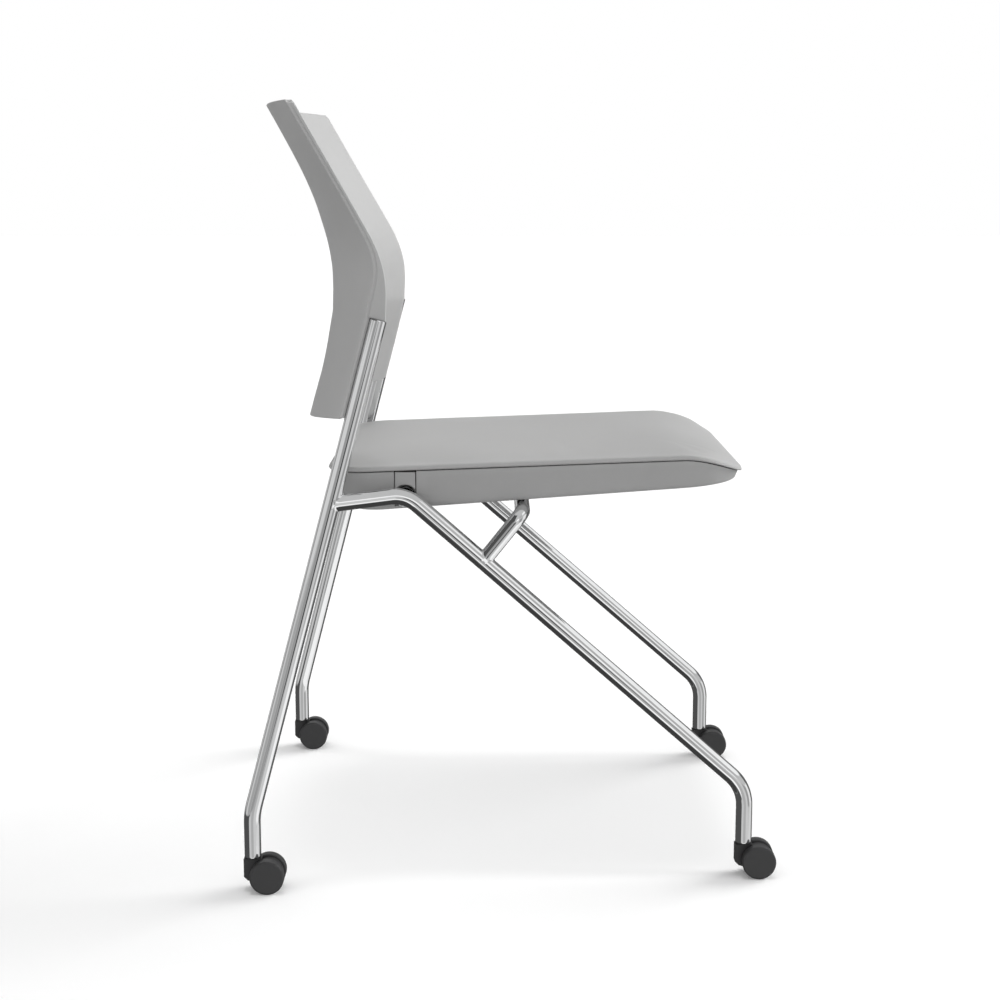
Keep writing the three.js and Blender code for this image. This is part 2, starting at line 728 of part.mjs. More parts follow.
function buildHingeBlock(sign) {
  const bearingRadius = tubeRadius + runningGap;
  const shape = new THREE.Shape();
  const rearY = pivot.y + hingeBlockHalfDepth;
  const frontY = pivot.y - hingeBlockHalfDepth;
  shape.moveTo(pivot.y + bearingRadius, pivot.z);
  shape.lineTo(rearY, pivot.z);
  shape.lineTo(rearY, blockTopAt(rearY));
  shape.lineTo(frontY, blockTopAt(frontY));
  shape.lineTo(frontY, pivot.z);
  shape.lineTo(pivot.y - bearingRadius, pivot.z);
  shape.absarc(pivot.y, pivot.z, bearingRadius, Math.PI, 0, true);
  const blockX = blockOuterX - hingeBlockWidth;
  const block = sideExtrude(shape, sign > 0 ? blockX : -blockOuterX, hingeBlockWidth);

  // The insert closes the pan's slot above the pivot tube, with an arc round the tube
  const insert = new THREE.Shape();
  const insertHalf = slotHalfWidth - insertClearance;
  const footDrop = Math.sqrt(insertArcRadius ** 2 - insertHalf ** 2);
  const topHeight = seamHeightAt(pivot.y) - insertClearance;
  const halfSweep = Math.asin(insertHalf / insertArcRadius);
  insert.moveTo(pivot.y + insertHalf, pivot.z + footDrop);
  insert.lineTo(pivot.y + insertHalf, topHeight);
  insert.lineTo(pivot.y - insertHalf, topHeight);
  insert.lineTo(pivot.y - insertHalf, pivot.z + footDrop);
  insert.absarc(pivot.y, pivot.z, insertArcRadius, Math.PI / 2 + halfSweep, Math.PI / 2 - halfSweep, true);
  const faceX = seatHalfWidth - insertInset;
  const plate = sideExtrude(insert, sign > 0 ? faceX - insertThickness : -faceX, insertThickness);

  // A short neck under the board joins the insert to the block
  const neckTop = blockTopAt(pivot.y + insertHalf);
  const neckFoot = pivot.z + insertArcRadius + seatGap;
  const neckShape = [
    [pivot.y - insertHalf, neckFoot],
    [pivot.y + insertHalf, neckFoot],
    [pivot.y + insertHalf, neckTop],
    [pivot.y - insertHalf, neckTop],
  ];
  const neckInner = blockOuterX - hingeEndGap;
  const neckWidth = faceX - insertThickness / 2 - neckInner;
  const neck = sideExtrude(neckShape, sign > 0 ? neckInner : -neckInner - neckWidth, neckWidth);
  return join(block, plate, neck);
}

function buildHingeStrap(sign) {
  const innerRadius = tubeRadius + runningGap;
  const top = pivot.z - seatGap;
  const shape = new THREE.Shape();
  const earY = hingeBlockHalfDepth;
  const earJoin = Math.sqrt(strapRadius ** 2 - (strapThickness + seatGap) ** 2);
  const innerJoin = Math.sqrt(innerRadius ** 2 - seatGap ** 2);
  shape.moveTo(pivot.y + innerJoin, top);
  shape.lineTo(pivot.y + earY, top);
  shape.lineTo(pivot.y + earY, top - strapThickness);
  shape.lineTo(pivot.y + earJoin, top - strapThickness);
  const outerStart = Math.asin((strapThickness + seatGap) / strapRadius);
  shape.absarc(pivot.y, pivot.z, strapRadius, -outerStart, outerStart - Math.PI, true);
  shape.lineTo(pivot.y - earY, top - strapThickness);
  shape.lineTo(pivot.y - earY, top);
  shape.lineTo(pivot.y - innerJoin, top);
  const innerStart = Math.asin(seatGap / innerRadius);
  shape.absarc(pivot.y, pivot.z, innerRadius, innerStart - Math.PI, -innerStart, false);
  const strapX = blockOuterX - hingeBlockWidth;
  const strap = sideExtrude(shape, sign > 0 ? strapX : -blockOuterX, hingeBlockWidth);
  const bores = [-1, 1].map((end) => screwHole(sign, end, screwDiameter / 2 + seatGap));
  return cut(strap, ...bores);
}

function screwAxis(sign, end) {
  return new THREE.Vector2(
    sign * (blockOuterX - hingeBlockWidth / 2),
    pivot.y + end * screwOffset,
  );
}

function screwHole(sign, end, radius) {
  const axis = screwAxis(sign, end);
  const foot = new THREE.Vector3(axis.x, axis.y, pivot.z - strapThickness - cutOverrun);
  const top = new THREE.Vector3(axis.x, axis.y, pivot.z + screwLength + seatGap);
  return rodBetween(foot, top, radius);
}

function buildHingeScrew(sign, end) {
  const axis = screwAxis(sign, end);
  const headTop = pivot.z - seatGap - strapThickness - seatGap;
  const outline = [
    new THREE.Vector2(0, headTop - screwHeadHeight),
    new THREE.Vector2(screwHeadDiameter / 3, headTop - screwHeadHeight),
    new THREE.Vector2(screwHeadDiameter / 2, headTop - screwHeadHeight / 2),
    new THREE.Vector2(screwHeadDiameter / 2, headTop),
    new THREE.Vector2(screwDiameter / 2, headTop),
    new THREE.Vector2(screwDiameter / 2, headTop + screwLength),
    new THREE.Vector2(0, headTop + screwLength),
  ];
  const screw = new THREE.LatheGeometry(outline, tubeSides / 2);
  screw.rotateX(Math.PI / 2);
  screw.translate(axis.x, axis.y, 0);
  return screw;
}

function buildBumper(sign) {
  const gapAt = (y) => panFloorAt(y) - seatGap;
  const foot = crossbarHeight + crossbarRadius + seatGap;
  const rear = crossbarY + bumperHalfDepth;
  const front = crossbarY - bumperHalfDepth;
  const outline = [[front, foot], [rear, foot], [rear, gapAt(rear)], [front, gapAt(front)]];
  return sideExtrude(outline, sign * bumperX - bumperHalfWidth, 2 * bumperHalfWidth);
}

// Casters
function latheAcross(outline, segments) {
  const body = new THREE.LatheGeometry(outline.map(([r, x]) => new THREE.Vector2(r, x)), segments);
  body.rotateY(Math.PI / segments);
  body.rotateZ(-Math.PI / 2);
  return body;
}

function buildWheel(side) {
  // The tread's flats, not its corners, lie at the wheel's radius, so one rests on the floor
  const treadRadius = wheelRadius / Math.cos(Math.PI / wheelSides);
  const outer = wheelWidth;
  const bore = axleDiameter / 2 + runningGap;
  const boreEnd = wheelWidth * axleReachShare + runningGap;
  const outline = [
    [0, outer - wheelRecess],
    [treadRadius - wheelEdge - wheelRimWidth - wheelRecess, outer - wheelRecess],
    [treadRadius - wheelEdge - wheelRimWidth, outer],
    [treadRadius - wheelEdge, outer],
    [treadRadius, outer - wheelEdge],
    [treadRadius, wheelEdge / 2],
    [treadRadius - wheelEdge / 2, 0],
    [bore, 0],
    [bore, boreEnd],
    [0, boreEnd],
  ].reverse();
  const wheel = latheAcross(outline, wheelSides);
  if (side < 0) {
    wheel.rotateZ(Math.PI);
  }
  return wheel;
}

// The horn stands under the stub and carries the axle between the two wheels
function buildHorn() {
  const stubFoot = stubFootHeight - socketFlange - 2 * seatGap;
  const hubFoot = wheelRadius - hubFootDrop;
  const block = [
    [hubReach, hubFoot + hubChamfer],
    [hubReach, stubFoot],
    [-hubReach, stubFoot],
    [-hubReach, wheelRadius],
    [-casterTrail / 2, hubFoot - hubChamfer],
    [hubReach - hubChamfer, hubFoot],
  ];
  const body = sideExtrude(block, -hubHalfWidth, 2 * hubHalfWidth);
  const web = new THREE.CylinderGeometry(webRadius, webRadius, 2 * hubHalfWidth, wheelSides);
  web.rotateZ(Math.PI / 2);
  web.translate(0, -casterTrail, wheelRadius);
  const stemBore = rodBetween(
    new THREE.Vector3(0, 0, stubFoot - stemSeatDepth - seatGap),
    new THREE.Vector3(0, 0, stubFoot + cutOverrun),
    stemDiameter / 2 + seatGap,
  );
  const axleBore = rodBetween(
    new THREE.Vector3(-hubHalfWidth - cutOverrun, -casterTrail, wheelRadius),
    new THREE.Vector3(hubHalfWidth + cutOverrun, -casterTrail, wheelRadius),
    axleDiameter / 2 + seatGap,
  );
  return cut(join(body, web), stemBore, axleBore);
}

function buildStem() {
  const foot = stubFootHeight - socketFlange - 2 * seatGap - stemSeatDepth;
  const radius = stemDiameter / 2;
  const outline = [
    new THREE.Vector2(0, foot),
    new THREE.Vector2(radius, foot),
    new THREE.Vector2(radius, foot + stemLength - 4 * stemGroove),
    new THREE.Vector2(radius - stemGroove, foot + stemLength - 3 * stemGroove),
    new THREE.Vector2(radius, foot + stemLength - 2 * stemGroove),
    new THREE.Vector2(radius - stemGroove, foot + stemLength),
    new THREE.Vector2(0, foot + stemLength),
  ];
  const stem = new THREE.LatheGeometry(outline, tubeSides);
  stem.rotateX(Math.PI / 2);
  return stem;
}

function buildSocket() {
  const bore = stemDiameter / 2 + runningGap;
  const sleeve = tubeRadius - tubeWall - seatGap;
  const flangeFoot = stubFootHeight - seatGap - socketFlange;
  const outline = [
    new THREE.Vector2(bore, flangeFoot),
    new THREE.Vector2(tubeRadius, flangeFoot),
    new THREE.Vector2(tubeRadius, flangeFoot + socketFlange),
    new THREE.Vector2(sleeve, flangeFoot + socketFlange),
    new THREE.Vector2(sleeve, flangeFoot + socketLength),
    new THREE.Vector2(bore, flangeFoot + socketLength),
    new THREE.Vector2(bore, flangeFoot),
  ];
  const socket = new THREE.LatheGeometry(outline, tubeSides);
  socket.rotateX(Math.PI / 2);
  return socket;
}

function buildCaster(name, x, y) {
  const group = new THREE.Group();
  group.position.set(x, y, 0);
  chair.add(group);
  addPiece(`stem_socket_${name}`, buildSocket(), materials.horn, group);
  addPiece(`caster_stem_${name}`, buildStem(), materials.steel, group);
  addPiece(`caster_horn_${name}`, buildHorn(), materials.horn, group);

  const axleHalf = hubHalfWidth + runningGap + wheelWidth * axleReachShare;
  const axle = rodBetween(
    new THREE.Vector3(-axleHalf, -casterTrail, wheelRadius),
    new THREE.Vector3(axleHalf, -casterTrail, wheelRadius),
    axleDiameter / 2,
  );
  addPiece(`caster_axle_${name}`, axle, materials.steel, group);
  for (const { word, sign } of sides) {
    const wheel = addPiece(`wheel_${name}_${word}`, buildWheel(sign), materials.wheel, group);
    wheel.position.set(sign * (hubHalfWidth + runningGap), -casterTrail, wheelRadius);
  }
}

// Assembly
for (const side of sides) {
  buildSideFrame(side);
}
addPiece('front_crossbar', buildCrossbar(), materials.chrome);
addPiece('pivot_tube', buildPivotTube(), materials.chrome);
addPiece('back_shell', buildBackShell(), materials.shell);
addPiece('seat_pan', buildPan(), materials.pan);
addPiece('seat_board', buildBoard(), materials.board);
addPiece('seat_pad', buildPad(), materials.pad);
for (const { word, sign } of sides) {
  const holes = [-1, 1].map((end) => screwHole(sign, end, screwDiameter / 2 + seatGap));
  addPiece(`hinge_block_${word}`, cut(buildHingeBlock(sign), ...holes), materials.pan);
  addPiece(`hinge_strap_${word}`, buildHingeStrap(sign), materials.steel);
  addPiece(`hinge_screw_${word}_front`, buildHingeScrew(sign, -1), materials.steel);
  addPiece(`hinge_screw_${word}_rear`, buildHingeScrew(sign, 1), materials.steel);
  addPiece(`seat_bumper_${word}`, buildBumper(sign), materials.rubber);
  buildCaster(`rear_${word}`, sign * rearHalfTrack, rearStubY);
  buildCaster(`front_${word}`, sign * frontHalfTrack, frontStubY);
}

export default chair;
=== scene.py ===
# %% [markdown]
# # A nesting chair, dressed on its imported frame
#
# The chair has two bent-tube side frames on small twin-wheel casters, a curved plastic
# back shell held between the uprights, and a padded seat that flips up about a cross tube.
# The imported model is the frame: it says where every piece sits and how it moves. Each
# surface that a person would look at is made again here as a smooth mesh, in the place
# of its plain solid, and gets its finish. All lengths are in metres, +Z is up, the front
# of the chair faces -Y and the sitter's right side is at -X.

import json
import math

import bmesh
import bpy
import numpy as np
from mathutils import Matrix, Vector
from mathutils.geometry import tessellate_polygon


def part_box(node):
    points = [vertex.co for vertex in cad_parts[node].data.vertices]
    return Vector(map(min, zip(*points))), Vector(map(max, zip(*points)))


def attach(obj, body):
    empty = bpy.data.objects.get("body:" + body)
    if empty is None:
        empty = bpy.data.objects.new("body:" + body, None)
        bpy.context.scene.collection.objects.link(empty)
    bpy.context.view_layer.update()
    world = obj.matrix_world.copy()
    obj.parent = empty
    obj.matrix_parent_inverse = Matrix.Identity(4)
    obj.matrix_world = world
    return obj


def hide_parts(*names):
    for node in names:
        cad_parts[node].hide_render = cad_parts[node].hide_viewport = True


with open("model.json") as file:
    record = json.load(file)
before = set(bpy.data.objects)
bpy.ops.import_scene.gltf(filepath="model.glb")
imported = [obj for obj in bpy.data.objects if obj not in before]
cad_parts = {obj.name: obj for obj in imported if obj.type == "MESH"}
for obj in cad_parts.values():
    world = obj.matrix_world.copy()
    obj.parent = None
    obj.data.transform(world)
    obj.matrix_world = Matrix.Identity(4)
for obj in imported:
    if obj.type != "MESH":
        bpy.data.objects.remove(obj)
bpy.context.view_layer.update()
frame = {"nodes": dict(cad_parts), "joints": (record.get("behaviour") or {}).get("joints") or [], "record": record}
joint_at = {joint["name"]: np.array(joint["pos_m"]) for joint in frame["joints"]}
body_of_node = {node: body for body, nodes in frame["record"]["behaviour"]["bodies"].items()
                for node in nodes}
MM = 0.001
SIDES = (("right", -1), ("left", 1))
print(f"frame: {len(frame['nodes'])} nodes, {len(joint_at)} joints")

# %% [markdown]
# ## The camera
#
# A camera can be placed by eye, or worked out from things of known shape. Here the
# vertical stubs, the wheels and their floor contacts in the photograph fix its height,
# its downward tilt and its focal length in pixels. A lens is then the focal length times
# the sensor's width, divided by the picture's width.

# %% Camera
PICTURE_WIDTH = 1000
FOCAL_PIXELS = 1845.19
CAMERA_TILT = 0.165
CAMERA_TURN = -0.0044
CAMERA_PLACE = (-2.1688, 0.0220, 0.745)

camera_data = bpy.data.cameras.new("camera")
camera_data.lens = FOCAL_PIXELS * camera_data.sensor_width / PICTURE_WIDTH
camera = bpy.data.objects.new("camera", camera_data)
bpy.context.scene.collection.objects.link(camera)
camera.location = CAMERA_PLACE
looking = Vector((math.cos(CAMERA_TILT) * math.cos(CAMERA_TURN),
                  math.cos(CAMERA_TILT) * math.sin(CAMERA_TURN),
                  -math.sin(CAMERA_TILT)))
camera.rotation_mode = "QUATERNION"
camera.rotation_quaternion = looking.to_track_quat("-Z", "Y")
bpy.context.scene.camera = camera
print(f"camera: {camera_data.lens:.1f} mm lens, {math.degrees(CAMERA_TILT):.1f} degrees down")

# %% [markdown]
# ## Node helpers
#
# Materials are node trees. One helper adds a node, sets its options and fills its inputs:
# a value goes on the socket, and another node's output becomes a link. The short helpers
# after it add the kinds that come up often and hand back the output. The last one opens a
# node group, for an effect that several materials share.


# %% Node helpers
def fill_inputs(tree, node, inputs):
    """Fills a node's inputs, by name or number: a value goes on the socket, and another
    node's output becomes a link."""
    for socket, value in inputs.items():
        if isinstance(value, bpy.types.NodeSocket):
            tree.links.new(value, node.inputs[socket])
        else:
            node.inputs[socket].default_value = value


def add_node(tree, kind, inputs=None, **options):
    """Adds one node. Its options come first, because a group's inputs exist only once it has
    its tree."""
    made = tree.nodes.new(kind)
    for name, value in options.items():
        setattr(made, name, value)
    fill_inputs(tree, made, inputs or {})
    return made


def calculate(tree, operation, *values):
    """Adds a Math node and returns its output."""
    return add_node(tree, "ShaderNodeMath", dict(enumerate(values)),
                    operation=operation).outputs[0]


def map_range(tree, value, source=(0.0, 1.0), target=(0.0, 1.0), **options):
    """Carries a value from one range over to another, clamped at both ends."""
    return add_node(tree, "ShaderNodeMapRange", {
        "Value": value, "From Min": source[0], "From Max": source[1],
        "To Min": target[0], "To Max": target[1]}, **options).outputs[0]


def mix_values(tree, factor, low, high):
    """(1 - factor) * low + factor * high."""
    return add_node(tree, "ShaderNodeMix", {"Factor": factor, "A": low, "B": high},
                    data_type="FLOAT").outputs[0]


def add_noise(tree, place, size, detail, **more):
    """Noise from 0 to 1 at a place, with size cells to the metre."""
    return add_node(tree, "ShaderNodeTexNoise", {"Vector": place, "Scale": size,
                    "Detail": detail, **more}).outputs["Fac"]


def open_group(name, inputs, output):
    """Starts a node group. inputs are given as name: default, with None for a vector."""
    group = bpy.data.node_groups.new(name, "ShaderNodeTree")
    for socket, default in inputs.items():
        kind = "NodeSocketVector" if default is None else "NodeSocketFloat"
        made = group.interface.new_socket(socket, in_out="INPUT", socket_type=kind)
        if default is not None:
            made.default_value = default
    group.interface.new_socket(output, in_out="OUTPUT", socket_type="NodeSocketFloat")
    entry = group.nodes.new("NodeGroupInput")
    leave = group.nodes.new("NodeGroupOutput")
    return group, entry.outputs, leave.inputs


def fill_group(tree, group, **inputs):
    """Places a node group, fills its inputs and returns its output."""
    return add_node(tree, "ShaderNodeGroup", inputs, node_tree=group).outputs[0]


# %% [markdown]
# ## The studio
#
# Polished tubes show the room more than themselves. A real photographer hangs pale and
# dark panels round them, so that each tube carries long bright and dark streaks. A world
# shader can do the same: plain pale light for everything matt, and a panorama of soft
# panels for rays that come off a glossy surface. Camera rays see plain white.

# %% Panels round the chair
BASE_SHINE = 0.55
LIGHT_LEVEL = 0.62
PANEL_EDGE = 3.0
FULL_TURN = 360
# Each row: azimuth from and to, elevation from and to, in degrees, then brightness.
# Azimuth 0 is the camera's side (-X), 90 the rear (+Y) and -90 the front (-Y). A later row
# covers an earlier one where they overlap.
PANELS = (
    (-180, 180, -90, -42, 0.05),
    (-115, 26, -42, -26, 1.0),
    (29, 180, -42, -10, 0.08),
    (12, 40, -26, -12, 0.6),
    (-20, 12, -26, -9, 0.45),
    (-60, -20, -26, -9, 0.64),
    (-97, -56, -31, -20, 0.97),
    (-180, -104, -42, 22, 0.12),
    (-114, -74, -20, -13, 0.75),
    (36, 94, 7, 16, 0.7),
    (36, 70, -10, 7, 0.4),
    (70, 96, -10, 7, 0.62),
    (4, 33, -10, 17, 0.34),
    (97, 112, -10, 17, 0.25),
    (115, 170, -10, 17, 0.5),
    (-14, 2, -9, 3, 0.07),
    (-42, -20, -9, 6, 0.62),
    (-72, -44, -18, 6, 0.34),
    (-108, -74, -14, 10, 0.85),
    (-34, -12, 5, 20, 1.0),
    (-58, -34, 16, 34, 0.46),
    (-150, -60, 25, 44, 0.95),
    (10, 70, 16, 20, 0.2),
    (8, 150, 18, 60, 0.08),
    (150, 180, 36, 75, 0.12),
    (-130, -72, -47, -34, 0.85),
)


def panel_mask(tree, value, low, high):
    """1 between two angles, falling softly to 0 past them, by two smooth steps."""
    rise = map_range(tree, value, (low - PANEL_EDGE / 2, low + PANEL_EDGE / 2),
                     interpolation_type="SMOOTHSTEP")
    fall = map_range(tree, value, (high - PANEL_EDGE / 2, high + PANEL_EDGE / 2), (1.0, 0.0),
                     interpolation_type="SMOOTHSTEP")
    return calculate(tree, "MULTIPLY", rise, fall)


def make_world():
    """A white backdrop for the camera, plain light for matt things, panels for glossy ones."""
    world = bpy.data.worlds.new("studio")
    world.use_nodes = True
    tree = world.node_tree
    tree.nodes.clear()
    direction = add_node(tree, "ShaderNodeSeparateXYZ",
                         {0: add_node(tree, "ShaderNodeTexCoord").outputs["Generated"]})
    x, y, z = direction.outputs
    azimuth = calculate(tree, "DEGREES", calculate(tree, "ARCTAN2", y,
                        calculate(tree, "MULTIPLY", x, -1.0)))
    elevation = calculate(tree, "DEGREES", calculate(tree, "ARCSINE", z))
    shine = BASE_SHINE
    for azimuth_from, azimuth_to, elevation_from, elevation_to, brightness in PANELS:
        mask = panel_mask(tree, elevation, elevation_from, elevation_to)
        if azimuth_to - azimuth_from < FULL_TURN:
            mask = calculate(tree, "MULTIPLY", mask,
                             panel_mask(tree, azimuth, azimuth_from, azimuth_to))
        shine = mix_values(tree, mask, shine, brightness)
    path = add_node(tree, "ShaderNodeLightPath").outputs
    plain, panels, white = (
        add_node(tree, "ShaderNodeBackground", {"Color": (1, 1, 1, 1), "Strength": strength})
        for strength in (LIGHT_LEVEL, shine, 1.0))
    lit = add_node(tree, "ShaderNodeMixShader", {0: path["Is Glossy Ray"],
                   1: plain.outputs[0], 2: panels.outputs[0]})
    seen = add_node(tree, "ShaderNodeMixShader", {0: path["Is Camera Ray"],
                    1: lit.outputs[0], 2: white.outputs[0]})
    add_node(tree, "ShaderNodeOutputWorld", {"Surface": seen.outputs[0]})
    bpy.context.scene.world = world


make_world()
bpy.context.scene.view_settings.view_transform = "Standard"
print(f"studio: {len(PANELS)} panels")

# %% [markdown]
# ## Lamps and floor
#
# A large soft lamp stands in front of the chair and shines to the rear, so the seat's nose
# and the front of the back shell are the palest parts. A faint one shines straight down and
# a third fills in from the camera's side. The floor is one wide sheet with two greys: the
# camera sees a pale one, plus a little glow, so that the floor meets the white backdrop
# without a line and still keeps the chair's soft shadow. Other rays meet a darker one, so
# that less light is thrown up under the seat.

# %% Lamps and floor
FLOOR_SIZE = 60.0
FLOOR_BOUNCE = 0.55
FLOOR_SEEN = 0.95
FLOOR_GLOW = 0.07
# Each row: name, direction in which it shines, strength, width in degrees
LAMPS = (("key_lamp", (-0.45, 0.82, -0.36), 2.75, 40),
         ("top_lamp", (0.0, 0.0, -1.0), 0.4, 8),
         ("fill_lamp", (1.0, 0.05, -0.12), 0.45, 30))


def add_lamp(name, direction, level, width):
    """A distant lamp that shines along a direction. Polished metal sees only the panels, so
    the lamp is left out of reflections."""
    lamp_data = bpy.data.lights.new(name, "SUN")
    lamp_data.energy = level
    lamp_data.angle = math.radians(width)
    lamp = bpy.data.objects.new(name, lamp_data)
    lamp.rotation_euler = Vector(direction).to_track_quat("-Z", "Y").to_euler()
    lamp.visible_glossy = False
    bpy.context.scene.collection.objects.link(lamp)


def make_floor():
    """A wide flat floor whose material tells camera rays from others."""
    half = FLOOR_SIZE / 2
    mesh = bpy.data.meshes.new("floor")
    mesh.from_pydata([(-half, -half, 0), (half, -half, 0), (half, half, 0), (-half, half, 0)],
                     [], [(0, 1, 2, 3)])
    floor = bpy.data.objects.new("floor", mesh)
    bpy.context.scene.collection.objects.link(floor)
    material = bpy.data.materials.new("floor")
    material.use_nodes = True
    tree = material.node_tree
    tree.nodes.clear()
    is_seen = add_node(tree, "ShaderNodeLightPath").outputs["Is Camera Ray"]
    grey = calculate(tree, "MULTIPLY_ADD", is_seen, FLOOR_SEEN - FLOOR_BOUNCE, FLOOR_BOUNCE)
    matt = add_node(tree, "ShaderNodeBsdfDiffuse", {"Color": grey})
    glow = add_node(tree, "ShaderNodeEmission",
                    {"Strength": calculate(tree, "MULTIPLY", is_seen, FLOOR_GLOW)})
    both = add_node(tree, "ShaderNodeAddShader", {0: matt.outputs[0], 1: glow.outputs[0]})
    add_node(tree, "ShaderNodeOutputMaterial", {"Surface": both.outputs[0]})
    mesh.materials.append(material)
    floor.visible_glossy = False


for lamp_row in LAMPS:
    add_lamp(*lamp_row)
make_floor()
print(f"lamps: {len(LAMPS)}, floor: {FLOOR_SIZE} m")

# %% [markdown]
# ## Mesh helpers
#
# Every new surface is a grid of points worked out with numpy: rows along one parameter,
# columns along the other. The faces of a grid follow from its row and column counts alone.
# Points that fall together, such as the pole of a dome, are merged afterwards, the normals
# are turned outwards, and edges sharper than a given angle are kept crisp.

# %% Grids to meshes
SHARP_ANGLE = math.radians(38)
SAME_POINT = 1e-6


def grid_faces(rows, columns, close_rows=False):
    """Corner numbers of the faces of a grid whose last column joins the first. Closing the
    rows joins the last row to the first too."""
    i = np.arange(rows if close_rows else rows - 1)[:, None]
    j = np.arange(columns)[None, :]
    next_i = (i + 1) % rows
    next_j = (j + 1) % columns
    corners = np.broadcast_arrays(i * columns + j, i * columns + next_j,
                                  next_i * columns + next_j, next_i * columns + j)
    return np.stack([corner.ravel() for corner in corners], axis=-1).tolist()


def cap_faces(ring, first):
    """Triangles that close a ring, worked out in plan. first is the ring's first point number."""
    flat = [Vector((x, y, 0)) for x, y in ring[:, :2]]
    return [[first + corner for corner in triangle] for triangle in tessellate_polygon([flat])]


def capped_grid_faces(rows):
    """Faces of a grid of points (rows, columns, 3), with its first and last row closed."""
    count, columns = rows.shape[:2]
    return grid_faces(count, columns) + cap_faces(rows[0], 0) + \
        cap_faces(rows[-1], (count - 1) * columns)


def make_piece(name, points, faces, finish, body, replaces):
    mesh = bpy.data.meshes.new(name)
    mesh.from_pydata(np.asarray(points, float).reshape(-1, 3).tolist(), [], faces)
    work = bmesh.new()
    work.from_mesh(mesh)
    bmesh.ops.remove_doubles(work, verts=work.verts, dist=SAME_POINT)
    bmesh.ops.dissolve_degenerate(work, edges=work.edges, dist=SAME_POINT)
    bmesh.ops.recalc_face_normals(work, faces=work.faces)
    work.to_mesh(mesh)
    work.free()
    mesh.shade_smooth()
    mesh.set_sharp_from_angle(angle=SHARP_ANGLE)
    mesh.materials.append(finishes[finish])
    piece = bpy.data.objects.new(name, mesh)
    bpy.context.scene.collection.objects.link(piece)
    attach(piece, body)
    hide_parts(*replaces)
    return piece


def add_bevel(piece, width, segments=2):
    """Rounds the sharp edges of a piece by a modifier."""
    bevel = piece.modifiers.new("rounding", "BEVEL")
    bevel.width = width
    bevel.segments = segments
    bevel.limit_method = "ANGLE"
    bevel.angle_limit = SHARP_ANGLE
    bevel.harden_normals = True


def unit(vectors):
    """Vectors of length 1 along the last axis."""
    return vectors / np.linalg.norm(vectors, axis=-1, keepdims=True)


def spokes_round(across, up, steps):
    """Unit vectors cos(a) * across + sin(a) * up once round, as (..., steps, 3)."""
    angles = np.linspace(0, 2 * math.pi, steps, endpoint=False)[:, None]
    return np.cos(angles) * across[..., None, :] + np.sin(angles) * up[..., None, :]


# %% [markdown]
# ## Finishes
#
# What makes a plain grey thing look real is small: a fine moulded grain, a roughness that
# drifts a little over the surface, and slightly polished edges. Three node groups hold
# these effects, and each material sets their amounts.


# %% Shared effects
GRAIN_SIZE = 900.0
GRAIN_CELLS = 0.5
GRAIN_DETAIL = 3.0
GRAIN_ROUGHNESS = 0.6
DRIFT_SIZE = 9.0
DRIFT_DETAIL = 2.0
DRIFT_SPREAD = (0.35, 0.65)
SMEAR_SIZE = 7.0    # times as fine as the drift
SMEAR_DETAIL = 4.0
SMEAR_DISTORTION = 0.8
SMEAR_SHARE = 0.35
FLAT = 0.5          # the pointiness of a flat face
EDGE_SHARPNESS = 0.03
EDGE_SPAN = 0.06


def make_grain_group():
    """Moulded or pressed grain: fine noise mixed with small cells, as a height."""
    group, given, result = open_group(
        "moulded_grain", {"Vector": None, "Size": GRAIN_SIZE, "Cells": GRAIN_CELLS}, "Height")
    fine = add_noise(group, given["Vector"], given["Size"], GRAIN_DETAIL,
                     Roughness=GRAIN_ROUGHNESS)
    cells = add_node(group, "ShaderNodeTexVoronoi", {"Vector": given["Vector"],
                     "Scale": given["Size"]}, feature="SMOOTH_F1").outputs["Distance"]
    group.links.new(mix_values(group, given["Cells"], fine, cells), result["Height"])
    return group


def make_drift_group():
    """Slow drift from 0 to 1 over the surface, with a trace of smears, for tone and gloss."""
    group, given, result = open_group("slow_drift", {"Vector": None, "Size": DRIFT_SIZE}, "Drift")
    broad = add_noise(group, given["Vector"], given["Size"], DRIFT_DETAIL)
    smears = add_noise(group, given["Vector"],
                       calculate(group, "MULTIPLY", given["Size"], SMEAR_SIZE), SMEAR_DETAIL,
                       Distortion=SMEAR_DISTORTION)
    mixed = mix_values(group, SMEAR_SHARE, broad, smears)
    group.links.new(map_range(group, mixed, DRIFT_SPREAD), result["Drift"])
    return group


def make_edge_group():
    """A mask of convex edges, where hands and feet polish the surface."""
    group, given, result = open_group("worn_edges", {"Sharpness": EDGE_SHARPNESS}, "Mask")
    pointiness = add_node(group, "ShaderNodeNewGeometry").outputs["Pointiness"]
    above = calculate(group, "ADD", given["Sharpness"], FLAT)
    mask = map_range(group, pointiness, (above, calculate(group, "ADD", above, EDGE_SPAN)))
    group.links.new(mask, result["Mask"])
    return group


moulded_grain = make_grain_group()
slow_drift = make_drift_group()
worn_edges = make_edge_group()

# %% One recipe for the matt finishes
TONE_DRIFT = 0.03
GLOSS_DRIFT = 0.08
EDGE_GAIN = 0.04


def open_material(name):
    """Starts a Principled material: itself, its tree, its shader and the object's own
    coordinates."""
    material = bpy.data.materials.new(name)
    material.use_nodes = True
    tree = material.node_tree
    place = add_node(tree, "ShaderNodeTexCoord").outputs["Object"]
    return material, tree, tree.nodes["Principled BSDF"], place


def tint(tree, colour, scale):
    """A colour times a scale that changes over the surface."""
    return add_node(tree, "ShaderNodeVectorMath", {0: colour, "Scale": scale},
                    operation="SCALE").outputs[0]


def add_bump(tree, height, depth):
    """Normals from a height that runs from 0 to 1, depth metres deep."""
    return add_node(tree, "ShaderNodeBump", {"Height": height, "Strength": 1.0,
                    "Distance": depth}).outputs[0]


